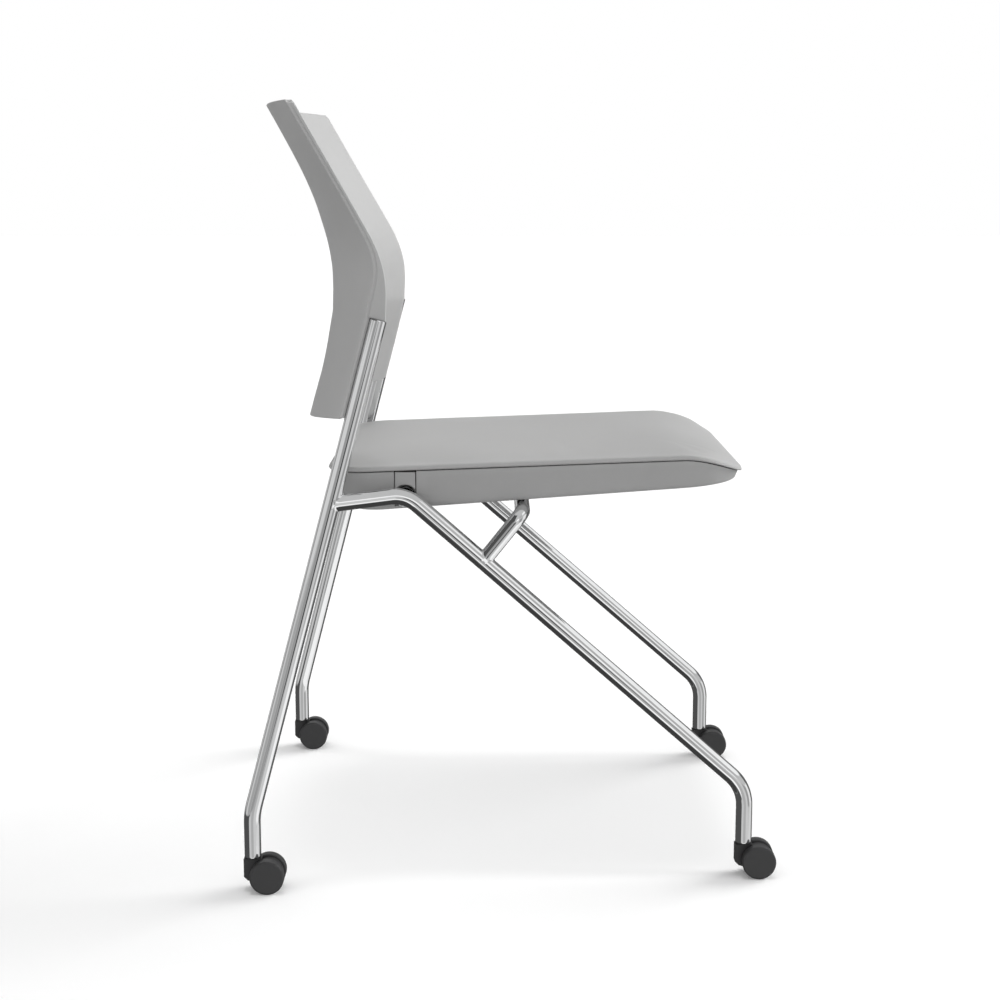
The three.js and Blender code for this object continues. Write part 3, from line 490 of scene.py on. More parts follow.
def make_finish(name, colour, roughness, grain_size, grain_depth, cells, metallic, sheen):
    """A material whose tone, gloss and normal come from the shared groups."""
    material, tree, shader, place = open_material(name)
    drift = fill_group(tree, slow_drift, Vector=place, Size=DRIFT_SIZE)
    edges = fill_group(tree, worn_edges)
    grain = fill_group(tree, moulded_grain, Vector=place, Size=grain_size, Cells=cells)
    tone = map_range(tree, drift, target=(1 - TONE_DRIFT, 1 + TONE_DRIFT))
    gloss = (roughness - GLOSS_DRIFT / 2, roughness + GLOSS_DRIFT / 2)
    fill_inputs(tree, shader, {
        "Base Color": tint(tree, colour, calculate(tree, "MULTIPLY_ADD", edges, EDGE_GAIN, tone)),
        "Roughness": map_range(tree, drift, target=gloss),
        "Normal": add_bump(tree, grain, grain_depth),
        "Metallic": metallic, "Sheen Weight": sheen})
    return material


# %% Chrome
CHROME_TINT = (0.99, 0.995, 1.0)
CHROME_TONES = (0.86, 0.9)
CHROME_HAZE = (0.025, 0.055)
CHROME_DRIFT_SIZE = 14.0
RIPPLE_SIZE = 260.0
RIPPLE_DETAIL = 2.0
RIPPLE_DEPTH = 0.006 * MM


def make_chrome():
    """Polished chrome plate: a nearly clear mirror with faint polishing haze and ripple."""
    material, tree, shader, place = open_material("chrome")
    drift = fill_group(tree, slow_drift, Vector=place, Size=CHROME_DRIFT_SIZE)
    ripple = add_noise(tree, place, RIPPLE_SIZE, RIPPLE_DETAIL)
    fill_inputs(tree, shader, {
        "Base Color": tint(tree, CHROME_TINT, map_range(tree, drift, target=CHROME_TONES)),
        "Roughness": map_range(tree, drift, target=CHROME_HAZE),
        "Normal": add_bump(tree, ripple, RIPPLE_DEPTH), "Metallic": 1.0})
    return material


# %% Plywood
PLYWOOD_DARK = (0.035, 0.03, 0.026, 1)
PLYWOOD_PALE = (0.08, 0.07, 0.06, 1)
PLYWOOD_STRETCH = (60.0, 4.0, 300.0)
PLYWOOD_DETAIL = 5.0


def make_plywood():
    """Dark stained plywood for the board inside the seat: stretched noise as grain."""
    material, tree, shader, place = open_material("plywood")
    stretched = add_node(tree, "ShaderNodeMapping", {"Vector": place,
                         "Scale": PLYWOOD_STRETCH}).outputs[0]
    grain = add_noise(tree, stretched, 1.0, PLYWOOD_DETAIL)
    stained = add_node(tree, "ShaderNodeMix", {"Factor": grain, "A": PLYWOOD_DARK,
                       "B": PLYWOOD_PALE}, data_type="RGBA")
    fill_inputs(tree, shader, {"Base Color": stained.outputs[2], "Roughness": grain})
    return material


# %% The finishes
# Each row: colour, roughness, size and depth of the grain, share of cells, metal, sheen
FINISHES = {
    "shell_plastic": ((0.465, 0.465, 0.463), 0.5, 1500, 0.04 * MM, 0.5, 0, 0),
    "pan_plastic": ((0.4, 0.4, 0.399), 0.5, 1400, 0.05 * MM, 0.5, 0, 0),
    "vinyl": ((0.43, 0.43, 0.428), 0.52, 850, 0.06 * MM, 0.85, 0, 0.05),
    "wheel_nylon": ((0.045, 0.045, 0.046), 0.42, 1200, 0.04 * MM, 0.5, 0, 0),
    "horn_nylon": ((0.03, 0.03, 0.031), 0.38, 1300, 0.05 * MM, 0.5, 0, 0),
    "rubber": ((0.02, 0.02, 0.02), 0.75, 1000, 0.06 * MM, 0.5, 0, 0),
    "zinc_steel": ((0.6, 0.61, 0.62), 0.34, 1600, 0.02 * MM, 0.5, 1, 0),
}
finishes = {name: make_finish(name, *row) for name, row in FINISHES.items()}
finishes["chrome"] = make_chrome()
finishes["plywood"] = make_plywood()
print(f"finishes: {list(finishes)}")

# %% [markdown]
# ## Routes of the bent tubes
#
# A bent tube is straight runs joined by round bends. Its route is worked out from the
# corner points and the bend radii: each bend is an arc that touches both runs. A ring just
# outside each bend keeps the shading of the long straight runs clean.

# %% Bent routes
TUBE_RADIUS = 9 * MM
TUBE_WALL = 1.6 * MM
TUBE_SIDES = 64
BEND_STEP = math.radians(2.5)
LEAST_BEND_STEPS = 4
GUARD_LENGTH = 1.5 * MM


def bent_route(corners, radii):
    """Centres and directions along straight runs and arcs. An arc of radius R at a corner with
    turn A starts R tan(A/2) before it."""
    corners = np.array(corners, float)
    runs = unit(np.diff(corners, axis=0))
    centres = [corners[0][None]]
    directions = [runs[0][None]]
    for index, radius in enumerate(radii, start=1):
        incoming = runs[index - 1]
        outgoing = runs[index]
        turn = math.acos(float(np.clip(incoming @ outgoing, -1, 1)))
        axis = unit(np.cross(incoming, outgoing))
        start = corners[index] - incoming * radius * math.tan(turn / 2)
        inward = np.cross(axis, incoming)
        steps = max(int(turn / BEND_STEP), LEAST_BEND_STEPS)
        angles = np.linspace(0, turn, steps + 1)[:, None]
        arc = start + radius * (np.sin(angles) * incoming + (1 - np.cos(angles)) * inward)
        heading = np.cos(angles) * incoming + np.sin(angles) * inward
        centres += [arc[:1] - GUARD_LENGTH * incoming, arc, arc[-1:] + GUARD_LENGTH * outgoing]
        directions += [heading[:1], heading, heading[-1:]]
    centres.append(corners[-1][None])
    directions.append(runs[-1][None])
    return np.concatenate(centres), np.concatenate(directions)


def ring_frames(directions):
    """Two vectors square to each direction, steady along the route."""
    bends = np.cross(directions[:-1], directions[1:])
    lengths = np.linalg.norm(bends, axis=1)
    plane = bends[np.argmax(lengths)] if lengths.max() > SAME_POINT else \
        np.cross(directions[0], (0.0, 0.0, 1.0))
    across = unit(plane - directions * (directions @ plane)[:, None])
    return across, np.cross(directions, across)


def tube_rings(centres, across, up, radius):
    """Rings of points: centre + radius (cos a * across + sin a * up)."""
    return centres[:, None] + radius * spokes_round(across, up, TUBE_SIDES)


# %% [markdown]
# ## Coped and welded ends
#
# Where one tube ends on another, its end is cut to the other's round, and a small weld
# bead fills the corner. Each line along the ending tube is followed until it meets the
# other tube's surface, which is a quadratic equation. The bead is a quarter round: close
# to the joint the ring swells by the bead's size. A free end is cut square, and the same
# quarter round with its sign turned takes the sharp edge off.

# %% Tube ends
WELD_SIZE = 1.3 * MM
WELD_STEPS = 5
END_ROUNDING = 0.35 * MM
END_STEPS = 4
GUARD_SIZES = 4    # the guard ring past a bead or rounding, in times its size


def reach_to_cylinder(points, direction, axis_point, axis, radius):
    """How far each point travels along direction until it leaves an endless cylinder."""
    axis = unit(np.asarray(axis, float))
    away = points - axis_point
    offset = away - (away @ axis)[:, None] * axis
    step = direction - (direction @ axis) * axis
    a = step @ step
    b = 2 * offset @ step
    c = (offset ** 2).sum(axis=1) - radius ** 2
    return (-b + np.sqrt(np.maximum(b * b - 4 * a * c, 0))) / (2 * a)


def tube_end(centre, direction, across, up, radius, wall, reach):
    """Rings of an end's outside, and the bore's first ring. direction points into the tube.
    A reach function cuts the end to another tube, with a bead, and None cuts it square."""
    size, swell, steps = (WELD_SIZE, 1, WELD_STEPS) if reach else (END_ROUNDING, -1, END_STEPS)
    rows = [(radius + swell * size * (1 - math.sin(beta)), size * (1 - math.cos(beta)))
            for beta in np.linspace(0, math.pi / 2, steps)]
    rows += [(radius, GUARD_SIZES * size), (radius - wall, 0)]
    spokes = spokes_round(across, up, TUBE_SIDES)
    rings = []
    for ring_radius, ahead in rows:
        points = centre + ring_radius * spokes
        if reach:
            ahead = (reach(points) + ahead)[:, None]
        rings.append(points + ahead * direction)
    return np.array(rings[:-1]), np.array(rings[-1:])


# %% A whole tube
def make_tube(name, corners, radii, radius, wall, start_reach=None, end_reach=None):
    """A hollow tube along a bent route. Its outside runs from start to end and its bore back,
    so the grid closes both ways."""
    centres, directions = bent_route(corners, radii)
    across, up = ring_frames(directions)
    outer = tube_rings(centres, across, up, radius)[1:-1]
    inner = tube_rings(centres, across, up, radius - wall)[1:-1]
    start, start_bore = tube_end(centres[0], directions[0], across[0], up[0], radius, wall,
                                 start_reach)
    end, end_bore = tube_end(centres[-1], -directions[-1], across[-1], up[-1], radius, wall,
                             end_reach)
    rings = np.concatenate([start, outer, end[::-1], end_bore, inner[::-1], start_bore])
    faces = grid_faces(len(rings), TUBE_SIDES, close_rows=True)
    piece = make_piece(f"chromed_{name}", rings, faces, "chrome", "frame", [name])
    print(f"{name}: {len(piece.data.vertices)} points")


# %% [markdown]
# ## The side frames
#
# The upright rises from the rear caster, bends once and leans forward and inward. The
# front leg starts as a short rail on the upright, bends down at the knee, runs to the
# front caster and ends in a short vertical stub. The swivel joints give the stubs' places.

# %% Side frames
STUB_FOOT = 38 * MM
REAR_BEND_HEIGHT = 86 * MM
UPRIGHT_TOP_HEIGHT = 612 * MM
UPRIGHT_TOP_SETBACK = 138.5 * MM
HALF_SPACING = 214 * MM
RAIL_HEIGHT = 418.5 * MM
KNEE_HEIGHT = 425.5 * MM
KNEE_SETBACK = 166 * MM
ANKLE_HEIGHT = 100.5 * MM
REAR_BEND = 75 * MM
KNEE_BEND = 38 * MM
ANKLE_BEND = 45 * MM


def upright_corners(word, sign):
    """Foot, bend and top of an upright's centre line."""
    x, y, _ = joint_at[f"swivel_rear_{word}"]
    return np.array([(x, y, STUB_FOOT), (x, y, REAR_BEND_HEIGHT),
                     (sign * HALF_SPACING, y - UPRIGHT_TOP_SETBACK, UPRIGHT_TOP_HEIGHT)])


def upright_axis(height, word, sign):
    """The point of an upright's leaning part at a height, or at an array of heights."""
    _, bend, top = upright_corners(word, sign)
    share = (np.asarray(height, float) - bend[2]) / (top[2] - bend[2])
    return bend + share[..., None] * (top - bend)


def leg_corners(word, sign):
    """Rail end, knee, ankle and foot of a front leg's centre line."""
    rear_y = joint_at[f"swivel_rear_{word}"][1]
    x, y, _ = joint_at[f"swivel_front_{word}"]
    return np.array([upright_axis(RAIL_HEIGHT, word, sign),
                     (sign * HALF_SPACING, rear_y - KNEE_SETBACK, KNEE_HEIGHT),
                     (x, y, ANKLE_HEIGHT), (x, y, STUB_FOOT)])


for word, sign in SIDES:
    upright = upright_corners(word, sign)
    leg = leg_corners(word, sign)
    lean = unit(upright[2] - upright[1])
    rail = unit(leg[1] - leg[0])
    make_tube(f"upright_{word}", upright, [REAR_BEND], TUBE_RADIUS, TUBE_WALL)
    make_tube(f"front_leg_{word}", leg, [KNEE_BEND, ANKLE_BEND], TUBE_RADIUS, TUBE_WALL,
              lambda points: reach_to_cylinder(points, rail, leg[0], lean, TUBE_RADIUS))

# %% [markdown]
# ## Crossbar and pivot tube
#
# The crossbar is a narrower tube that rises from one front leg, turns under the seat,
# crosses and comes down again. The pivot tube is straight and ends on the insides of the
# two knee bends, so its ends are cut to a bend's round instead of a straight tube's.

# %% Crossbar and pivot tube
CROSSBAR_RADIUS = 8.25 * MM
CROSSBAR_WALL = 1.5 * MM
CROSSBAR_FOOT_SHARE = 0.224
CROSSBAR_INSET = 3 * MM
CROSSBAR_LEAD = 125.5 * MM
CROSSBAR_BEND = 15 * MM
SEAT_GAP = 0.3 * MM


def crossbar_corners():
    """Feet on the two legs and the two upper corners between them."""
    legs = [leg_corners(word, sign) for word, sign in SIDES]
    feet = [leg[1] + CROSSBAR_FOOT_SHARE * (leg[2] - leg[1]) for leg in legs]
    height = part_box("seat_bumper_right")[0].z - SEAT_GAP - CROSSBAR_RADIUS
    tops = [(sign * (HALF_SPACING - CROSSBAR_INSET), leg[1][1] - CROSSBAR_LEAD, height)
            for leg, (_, sign) in zip(legs, SIDES)]
    return [feet[0], tops[0], tops[1], feet[1]]


def leg_reach(word, sign, direction):
    """The reach function that cuts a crossbar end to its front leg."""
    _, knee, ankle, _ = leg_corners(word, sign)
    return lambda points: reach_to_cylinder(points, direction, knee, ankle - knee, TUBE_RADIUS)


bar = np.array(crossbar_corners())
make_tube("front_crossbar", bar, [CROSSBAR_BEND, CROSSBAR_BEND], CROSSBAR_RADIUS, CROSSBAR_WALL,
          leg_reach("right", -1, unit(bar[1] - bar[0])),
          leg_reach("left", 1, unit(bar[-2] - bar[-1])))


def knee_bend(word, sign):
    """Middle point and centre of curvature of a knee bend."""
    rear, knee, ankle, _ = leg_corners(word, sign)
    to_rear = unit(rear - knee)
    to_ankle = unit(ankle - knee)
    half_turn = (math.pi - math.acos(float(to_rear @ to_ankle))) / 2
    inward = unit(to_rear + to_ankle)
    middle = knee + inward * KNEE_BEND * (1 / math.cos(half_turn) - 1)
    return middle, middle + inward * KNEE_BEND


def knee_reach(middle, bend_centre, direction):
    """The reach function that cuts an end of the pivot tube, which runs along X, to a knee
    bend, which lies in the plane of its middle's x."""
    def reach(points):
        from_centre = np.linalg.norm((points - bend_centre)[:, 1:], axis=1)
        half_chord = np.sqrt(np.maximum(TUBE_RADIUS ** 2 - (from_centre - KNEE_BEND) ** 2, 0))
        return (middle[0] - points[:, 0]) * direction[0] + half_chord

    return reach


knees = [knee_bend(word, sign) for word, sign in SIDES]
span = unit(knees[1][0] - knees[0][0])
make_tube("pivot_tube", [middle for middle, _ in knees], [], TUBE_RADIUS, TUBE_WALL,
          knee_reach(*knees[0], span), knee_reach(*knees[1], -span))

# %% [markdown]
# ## Turned pieces
#
# Plugs, wheels and sockets are turned shapes: a profile of radius against distance along an
# axis, carried once round. A profile that starts and ends on the axis gives a closed solid,
# and so does one whose last row joins its first.

# %% Turned pieces
TURN_STEPS = 96
NEARLY_UPRIGHT = 0.9


def rounded(profile, radius, steps=5):
    """A profile with each inner corner replaced by a quadratic curve that starts and ends
    radius away from it, or a third of the way to the next corner where that is nearer."""
    profile = np.array(profile, float)
    t = np.linspace(0, 1, steps)[:, None]
    rows = [profile[:1]]
    for before, corner, after in zip(profile[:-2], profile[1:-1], profile[2:]):
        back = before - corner
        ahead = after - corner
        back_length = np.linalg.norm(back)
        ahead_length = np.linalg.norm(ahead)
        start = corner + back / back_length * min(radius, back_length / 3)
        end = corner + ahead / ahead_length * min(radius, ahead_length / 3)
        rows.append((1 - t) ** 2 * start + 2 * t * (1 - t) * corner + t ** 2 * end)
    rows.append(profile[-1:])
    return np.concatenate(rows)


def make_turned(name, profile, origin, axis, finish, body, replaces, close_rows=False):
    """A profile of (radius, distance) carried round an axis through origin, as a piece."""
    axis = unit(np.array(axis, float))
    helper = np.array((0.0, 1.0, 0.0) if abs(axis[2]) >= NEARLY_UPRIGHT else (0.0, 0.0, 1.0))
    across = unit(np.cross(axis, helper))
    radii, distances = np.array(profile).T[..., None, None]
    points = np.array(origin) + radii * spokes_round(across, np.cross(axis, across), TURN_STEPS) \
        + distances * axis
    faces = grid_faces(len(profile), TURN_STEPS, close_rows)
    make_piece(name, points, faces, finish, body, replaces)


# %% Plugs
PLUG_CROWN = 0.3 * MM
PLUG_DEPTH = 14 * MM
PLUG_ROUNDING = 0.5 * MM
PLUG_EDGE_SHARE = 0.8    # of the crown, at the plug's edge
PLUG_FLAT_SHARE = 0.6    # of the tube's radius, where the crown is reached
bore = TUBE_RADIUS - TUBE_WALL - SEAT_GAP
plug_edge = TUBE_RADIUS - TUBE_WALL / 2
plug = rounded([(0, -PLUG_DEPTH), (bore, -PLUG_DEPTH), (bore, SEAT_GAP / 2),
                (plug_edge, SEAT_GAP / 2), (plug_edge, PLUG_CROWN * PLUG_EDGE_SHARE),
                (TUBE_RADIUS * PLUG_FLAT_SHARE, PLUG_CROWN), (0, PLUG_CROWN + SEAT_GAP / 3)],
               PLUG_ROUNDING)

for word, sign in SIDES:
    _, bend, top = upright_corners(word, sign)
    make_turned(f"end_plug_{word}", plug, top, top - bend, "shell_plastic", "frame",
                [f"upright_plug_{word}"])
print("plugs: 2")

# %% [markdown]
# ## The back shell
#
# The shell is one moulding. In plan it is a shallow parabola between its two rims, and the
# depth of that curve, the width and the lean of the rims all change with height. Beside
# the uprights the rim is a thick band with an open groove that holds the tube; above the
# tube ends the band thins. The way chosen here is a closed section line, worked out for
# every height at once: outside, rim, inside and back. The groove is an arc that takes the
# place of the rim's corner below the tube's end.

# %% Shell sizes
SHELL_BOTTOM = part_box("back_shell")[0].z
SHELL_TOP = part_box("back_shell")[1].z
SHELL_SIDE_RISE = 19.6 * MM
SHELL_TOP_DROP = 4 * MM
SHELL_SIDE_DROP = 1 * MM
SHELL_CORNER = 3.2 * MM
LOWER_CORNER_SHARE = 0.3
SHELL_WALL = 5 * MM
SHELL_EDGE_LIFT = 1.9 * MM
EDGE_BEND = 0.14
SHELL_WRAP = 69 * MM
SHELL_FLARE = 94 * MM
SHELL_TOP_HALF_WIDTH = 207 * MM
TUBE_COVER = 3 * MM
RIM_BAND = 7.8 * MM
CRADLE_REAR = 14 * MM
CRADLE_DEPTH = 16 * MM
GROOVE_CLEARANCE = 0.35 * MM

# Rows of [share of the height above the tube ends, share of the flare]
RIM_FLARE_SHARES = ((0, 0), (0.12, -0.014), (0.2, -0.003), (0.28, 0.047), (0.356, 0.125),
                    (0.441, 0.241), (0.633, 0.512), (0.821, 0.778), (1, 1.03))
# Rows of [share of the shell's height, share of the wrap]
WRAP_SHARES = ((0, 0.97), (0.05, 0.969), (0.114, 0.962), (0.164, 0.957), (0.217, 0.967),
               (0.27, 0.988), (0.323, 1.013), (0.36, 1.026), (0.41, 1.034), (0.47, 1.033),
               (0.53, 0.999), (0.58, 0.946), (0.635, 0.87), (0.69, 0.798), (0.745, 0.748),
               (0.8, 0.717), (0.87, 0.698), (0.93, 0.69), (1, 0.686))
# Rows of [share of the shell's height, metres that the rim's front stands ahead of the tube's
# axis]
RIM_LEADS = ((0, 0.0092), (0.1, 0.0094), (0.26, 0.0094), (0.32, 0.0086), (0.37, 0.0077),
             (0.45, 0.007), (0.6, 0.0067), (1, 0.0062))
# Rows of [share of the height above the tube ends, share of the way to the top width]
RIM_WIDTH_SHARES = ((0, 0), (0.12, -0.15), (0.28, 0.2), (0.44, 0.55), (0.64, 0.95), (1, 1))
# Rows of [share of the height above the tube ends, share of the cradle's extra size left]
CRADLE_FADE_SHARES = ((0, 1), (0.04, 0.95), (0.12, 0.66), (0.2, 0.3), (0.28, 0.06), (0.34, 0),
                      (1, 0))


def read_shares(table, t):
    """A smooth curve through the rows of a table: in each span a cubic whose end slopes are
    the mean slopes of the two spans that meet there."""
    table = np.array(table, float)
    keys = table[:, 0]
    values = table[:, 1]
    t = np.clip(t, keys[0], keys[-1])
    slopes = np.diff(values) / np.diff(keys)
    ends = np.concatenate([slopes[:1], (slopes[:-1] + slopes[1:]) / 2, slopes[-1:]])
    i = np.clip(np.searchsorted(keys, t, side="right") - 1, 0, len(keys) - 2)
    width = keys[i + 1] - keys[i]
    rise = values[i + 1] - values[i]
    s = (t - keys[i]) / width
    bow = s * (1 - s) * ((1 - s) * (ends[i] * width - rise) - s * (ends[i + 1] * width - rise))
    return values[i] + s * rise + bow


# %% Shell section
def shell_measures(z):
    """Half width, rim Y, side band, rim depth and wrap of the shell at heights z."""
    above = np.maximum((z - UPRIGHT_TOP_HEIGHT) / (SHELL_TOP - UPRIGHT_TOP_HEIGHT), 0)
    axis = upright_axis(np.minimum(z, UPRIGHT_TOP_HEIGHT), "left", 1)
    tube_width = axis[..., 0] + TUBE_COVER
    half_width = tube_width + (SHELL_TOP_HALF_WIDTH - HALF_SPACING - TUBE_COVER) * \
        np.where(z > UPRIGHT_TOP_HEIGHT, read_shares(RIM_WIDTH_SHARES, above), 0)
    share = (z - SHELL_BOTTOM) / (SHELL_TOP - SHELL_BOTTOM)
    lead = read_shares(RIM_LEADS, share)
    rim_y = axis[..., 1] - lead + SHELL_FLARE * \
        np.where(z > UPRIGHT_TOP_HEIGHT, read_shares(RIM_FLARE_SHARES, above), 0)
    cradle = read_shares(CRADLE_FADE_SHARES, above)
    band = RIM_BAND + (CRADLE_REAR + lead - RIM_BAND) * cradle
    depth = SHELL_WALL + (CRADLE_DEPTH - SHELL_WALL) * cradle
    wrap = SHELL_WRAP * read_shares(WRAP_SHARES, share) + lead - RIM_LEADS[-1][1]
    return half_width, rim_y, band, depth, wrap


def curve_through(start, corner, end, steps):
    """Points of a quadratic curve from start to end that a corner pulls, for arrays of corners."""
    t = np.linspace(0, 1, steps)
    weights = ((1 - t) ** 2, 2 * t * (1 - t), t ** 2)
    return sum(w[None, :, None] * p[:, None] for w, p in zip(weights, (start, corner, end)))


def straight_between(start, end, steps):
    """Points on straight lines, without their two ends, for arrays of end points."""
    t = np.linspace(0, 1, steps + 2)[1:-1]
    return start[:, None] + t[None, :, None] * (end - start)[:, None]


CORNER_STEPS = 6
FACE_STEPS = 12
ARC_STEPS = 26
OUTER_ROUNDING = 1.6 * MM
RIM_ROUNDING = 1.3 * MM
INNER_ROUNDING = 3.0 * MM
GROOVE_ROUNDING = 0.5 * MM
# The crease between the back and the rim's band, as points of [mm inwards, mm forwards from
# the band's rear edge, share of the depth]. It has one point more than the step has, so that
# rows with and without the groove match.
CREASE_DEPTH = 1.0 * MM
CREASE_POINTS = ((0.3, 0.7, 0), (0.3, 2.0, 0.45), (0.3, 3.1, 1), (0.28, 3.45, 1), (0.1, 4.3, 0.1))
BAND_START = 4.7 * MM
# Beside the tube, a step inwards, as points of [mm behind the tube's axis, share of the depth]
STEP_DEPTH = 1.1 * MM
STEP_POINTS = ((11.6, 0), (11.2, 0.1), (11.0, 1), (10.6, 1))
STEP_END = 10.3 * MM
LIP_STEPS = 3
groove_radius = TUBE_RADIUS + GROOVE_CLEARANCE
lean_left = unit(upright_corners("left", 1)[2] - upright_corners("left", 1)[1])


def pair(x, y):
    """x and y arrays side by side."""
    return np.stack(np.broadcast_arrays(x, y), axis=-1)


def rim_path(z, grooved, relief):
    """The rim between the outer and the inner surface at heights z, as rows of (x, y): crease,
    side face, rounded corner and front face, or a step and the tube's groove in their place.
    relief is the share of the crease's and the step's depth, which fades at the edges."""
    half_width, rim_y, band, depth, _ = shell_measures(z)
    crease = np.stack([pair(half_width - inwards * MM - share * relief * CREASE_DEPTH,
                            rim_y + band - forwards * MM)
                       for inwards, forwards, share in CREASE_POINTS], axis=1)
    outer = pair(half_width - CREASE_POINTS[0][0] * MM, rim_y + band)
    front_end = pair(half_width - depth + INNER_ROUNDING * depth / CRADLE_DEPTH, rim_y)
    if not grooved:
        side_start = pair(half_width, rim_y + band - BAND_START)
        corner = pair(half_width, rim_y)
        turn_start = pair(half_width, rim_y + RIM_ROUNDING)
        turn_end = pair(half_width - RIM_ROUNDING, rim_y)
        return np.concatenate([crease, side_start[:, None],
                               straight_between(side_start, turn_start, FACE_STEPS),
                               curve_through(turn_start, corner, turn_end, CORNER_STEPS),
                               straight_between(turn_end, front_end, FACE_STEPS),
                               front_end[:, None]], axis=1), outer
    centre_x = half_width - TUBE_COVER
    lead = read_shares(RIM_LEADS, (z - SHELL_BOTTOM) / (SHELL_TOP - SHELL_BOTTOM))
    centre_y = rim_y + lead
    sunk = half_width - relief * STEP_DEPTH
    step = np.stack([pair(half_width - share * relief * STEP_DEPTH, centre_y + behind * MM)
                     for behind, share in STEP_POINTS], axis=1)
    crease = np.concatenate([crease[:, :1], step], axis=1)
    side_start = pair(sunk, centre_y + STEP_END)
    wide = groove_radius / math.sqrt(1 - lean_left[0] ** 2)
    long = groove_radius / math.sqrt(1 - lean_left[1] ** 2)
    first = np.arccos((sunk - centre_x) / wide)
    last = math.pi + np.arcsin(np.minimum(lead / long, 1))
    turn = GROOVE_ROUNDING / groove_radius
    angles = (first + turn)[:, None] + \
        np.linspace(0, 1, ARC_STEPS) * (last - first - 2 * turn)[:, None]
    arc = np.stack([centre_x[:, None] + wide * np.cos(angles),
                    centre_y[:, None] + long * np.sin(angles)], axis=-1)
    edge_a = pair(sunk, centre_y + long * np.sin(first))
    edge_b = pair(centre_x + wide * np.cos(last), rim_y)
    lip_a = edge_a + pair(np.zeros_like(z), np.full_like(z, GROOVE_ROUNDING))
    lip_b = edge_b - pair(np.full_like(z, GROOVE_ROUNDING), np.zeros_like(z))
    return np.concatenate([crease, side_start[:, None], lip_a[:, None],
                           curve_through(lip_a, edge_a, arc[:, 0], LIP_STEPS)[:, 1:-1], arc,
                           curve_through(arc[:, -1], edge_b, lip_b, LIP_STEPS)[:, 1:-1],
                           lip_b[:, None], front_end[:, None]], axis=1), outer


# %% [markdown]
# ## Shell surface
#
# Half of the section runs from the middle of the outside, round the rim, to the middle of
# the inside; the other half is its mirror image. The rows below the tube's end have the
# groove and the rows above don't, and where they meet, the faces between them become the
# groove's end. That end is square to the leaning tube, so the rows near it are slid along
# the tube. The thin upper and lower edges are rounded by drawing the last rows inwards.

# %% Shell surface
SHELL_EDGE = 0.9 * MM
SHELL_EDGE_STEPS = 4
WALL_COLUMNS = 28
TURN_COLUMNS = 9
LOWER_ROWS = 26
UPPER_ROWS = 60
EDGE_STATION = 0.004
RELIEF_FADE = 0.025
SLIDE_ROWS = 7
SLIDE_COLUMNS = 10
GROOVE_TOP = UPRIGHT_TOP_HEIGHT + 0.7 * MM
corner_start = 1 - SHELL_CORNER / SHELL_TOP_HALF_WIDTH


def shell_heights(s, v):
    """Height at side share s on station v. The lower edge rises to the sides along a hyperbola,
    the upper edge falls with the square of s, and both turn round the corner on a circle."""
    into = np.maximum(np.abs(s) - corner_start, 0) / (1 - corner_start)
    corner = SHELL_CORNER * (1 - np.sqrt(np.maximum(1 - into ** 2, 0)))
    climb = (np.sqrt(s ** 2 + EDGE_BEND ** 2) - EDGE_BEND) / \
        (math.sqrt(1 + EDGE_BEND ** 2) - EDGE_BEND)
    lower = SHELL_BOTTOM + SHELL_EDGE_LIFT + SHELL_EDGE + SHELL_SIDE_RISE * climb + \
        LOWER_CORNER_SHARE * corner
    upper = SHELL_TOP - SHELL_TOP_DROP - SHELL_EDGE - SHELL_SIDE_DROP * s ** 2 - corner
    return lower + v * (upper - lower)


def side_shares(last):
    """Side shares from the middle to last, evenly and then by equal turns of the corner."""
    turn = math.asin((last - corner_start) / (1 - corner_start))
    even = np.linspace(0, corner_start, WALL_COLUMNS, endpoint=False)
    turning = corner_start + (1 - corner_start) * np.sin(np.linspace(0, turn, TURN_COLUMNS))
    return np.concatenate([even, turning])


def shell_half(v, grooved):
    """Rows of the section's half at x > 0, as points (rows, columns, 3). The outer surface is
    y = rim + band + (wrap - band)(1 - s*s) and the inner one y = rim + (wrap - wall)(1 - s*s)."""
    v = v[:, None]
    s = side_shares(1 - OUTER_ROUNDING / SHELL_TOP_HALF_WIDTH)[None, :]
    z = shell_heights(s, v)
    half_width, rim_y, band, _, wrap = shell_measures(z)
    outer = np.stack([s * half_width, rim_y + band + (wrap - band) * (1 - s ** 2), z], axis=-1)
    s = side_shares(1 - INNER_ROUNDING / SHELL_TOP_HALF_WIDTH)[None, :]
    z = shell_heights(s, v)
    half_width, rim_y, _, depth, wrap = shell_measures(z)
    inner = np.stack([s * (half_width - depth), rim_y + (wrap - SHELL_WALL) * (1 - s ** 2), z],
                     axis=-1)
    rim_z = shell_heights(1.0, v[:, 0])
    relief = np.where(v[:, 0] > 0, np.clip((1 - v[:, 0]) / RELIEF_FADE, 0, 1), 0)
    path, outer_corner = rim_path(rim_z, grooved, relief)
    rim = np.concatenate([path, np.broadcast_to(rim_z[:, None, None], path.shape[:2] + (1,))],
                         axis=2)
    half_width, rim_y, _, depth, _ = shell_measures(rim_z)
    outer_corner = np.stack([outer_corner[:, 0], outer_corner[:, 1], rim_z], axis=-1)
    inner_corner = np.stack([half_width - depth, rim_y, rim_z], axis=-1)
    outer_turn = curve_through(outer[:, -1], outer_corner, rim[:, 0], CORNER_STEPS)[:, 1:-1]
    inner_turn = curve_through(rim[:, -1], inner_corner, inner[:, -1], CORNER_STEPS)[:, 1:-1]
    first_rim = outer.shape[1] + outer_turn.shape[1]
    half = np.concatenate([outer, outer_turn, rim, inner_turn, inner[:, ::-1]], axis=1)
    return half, first_rim, first_rim + rim.shape[1]


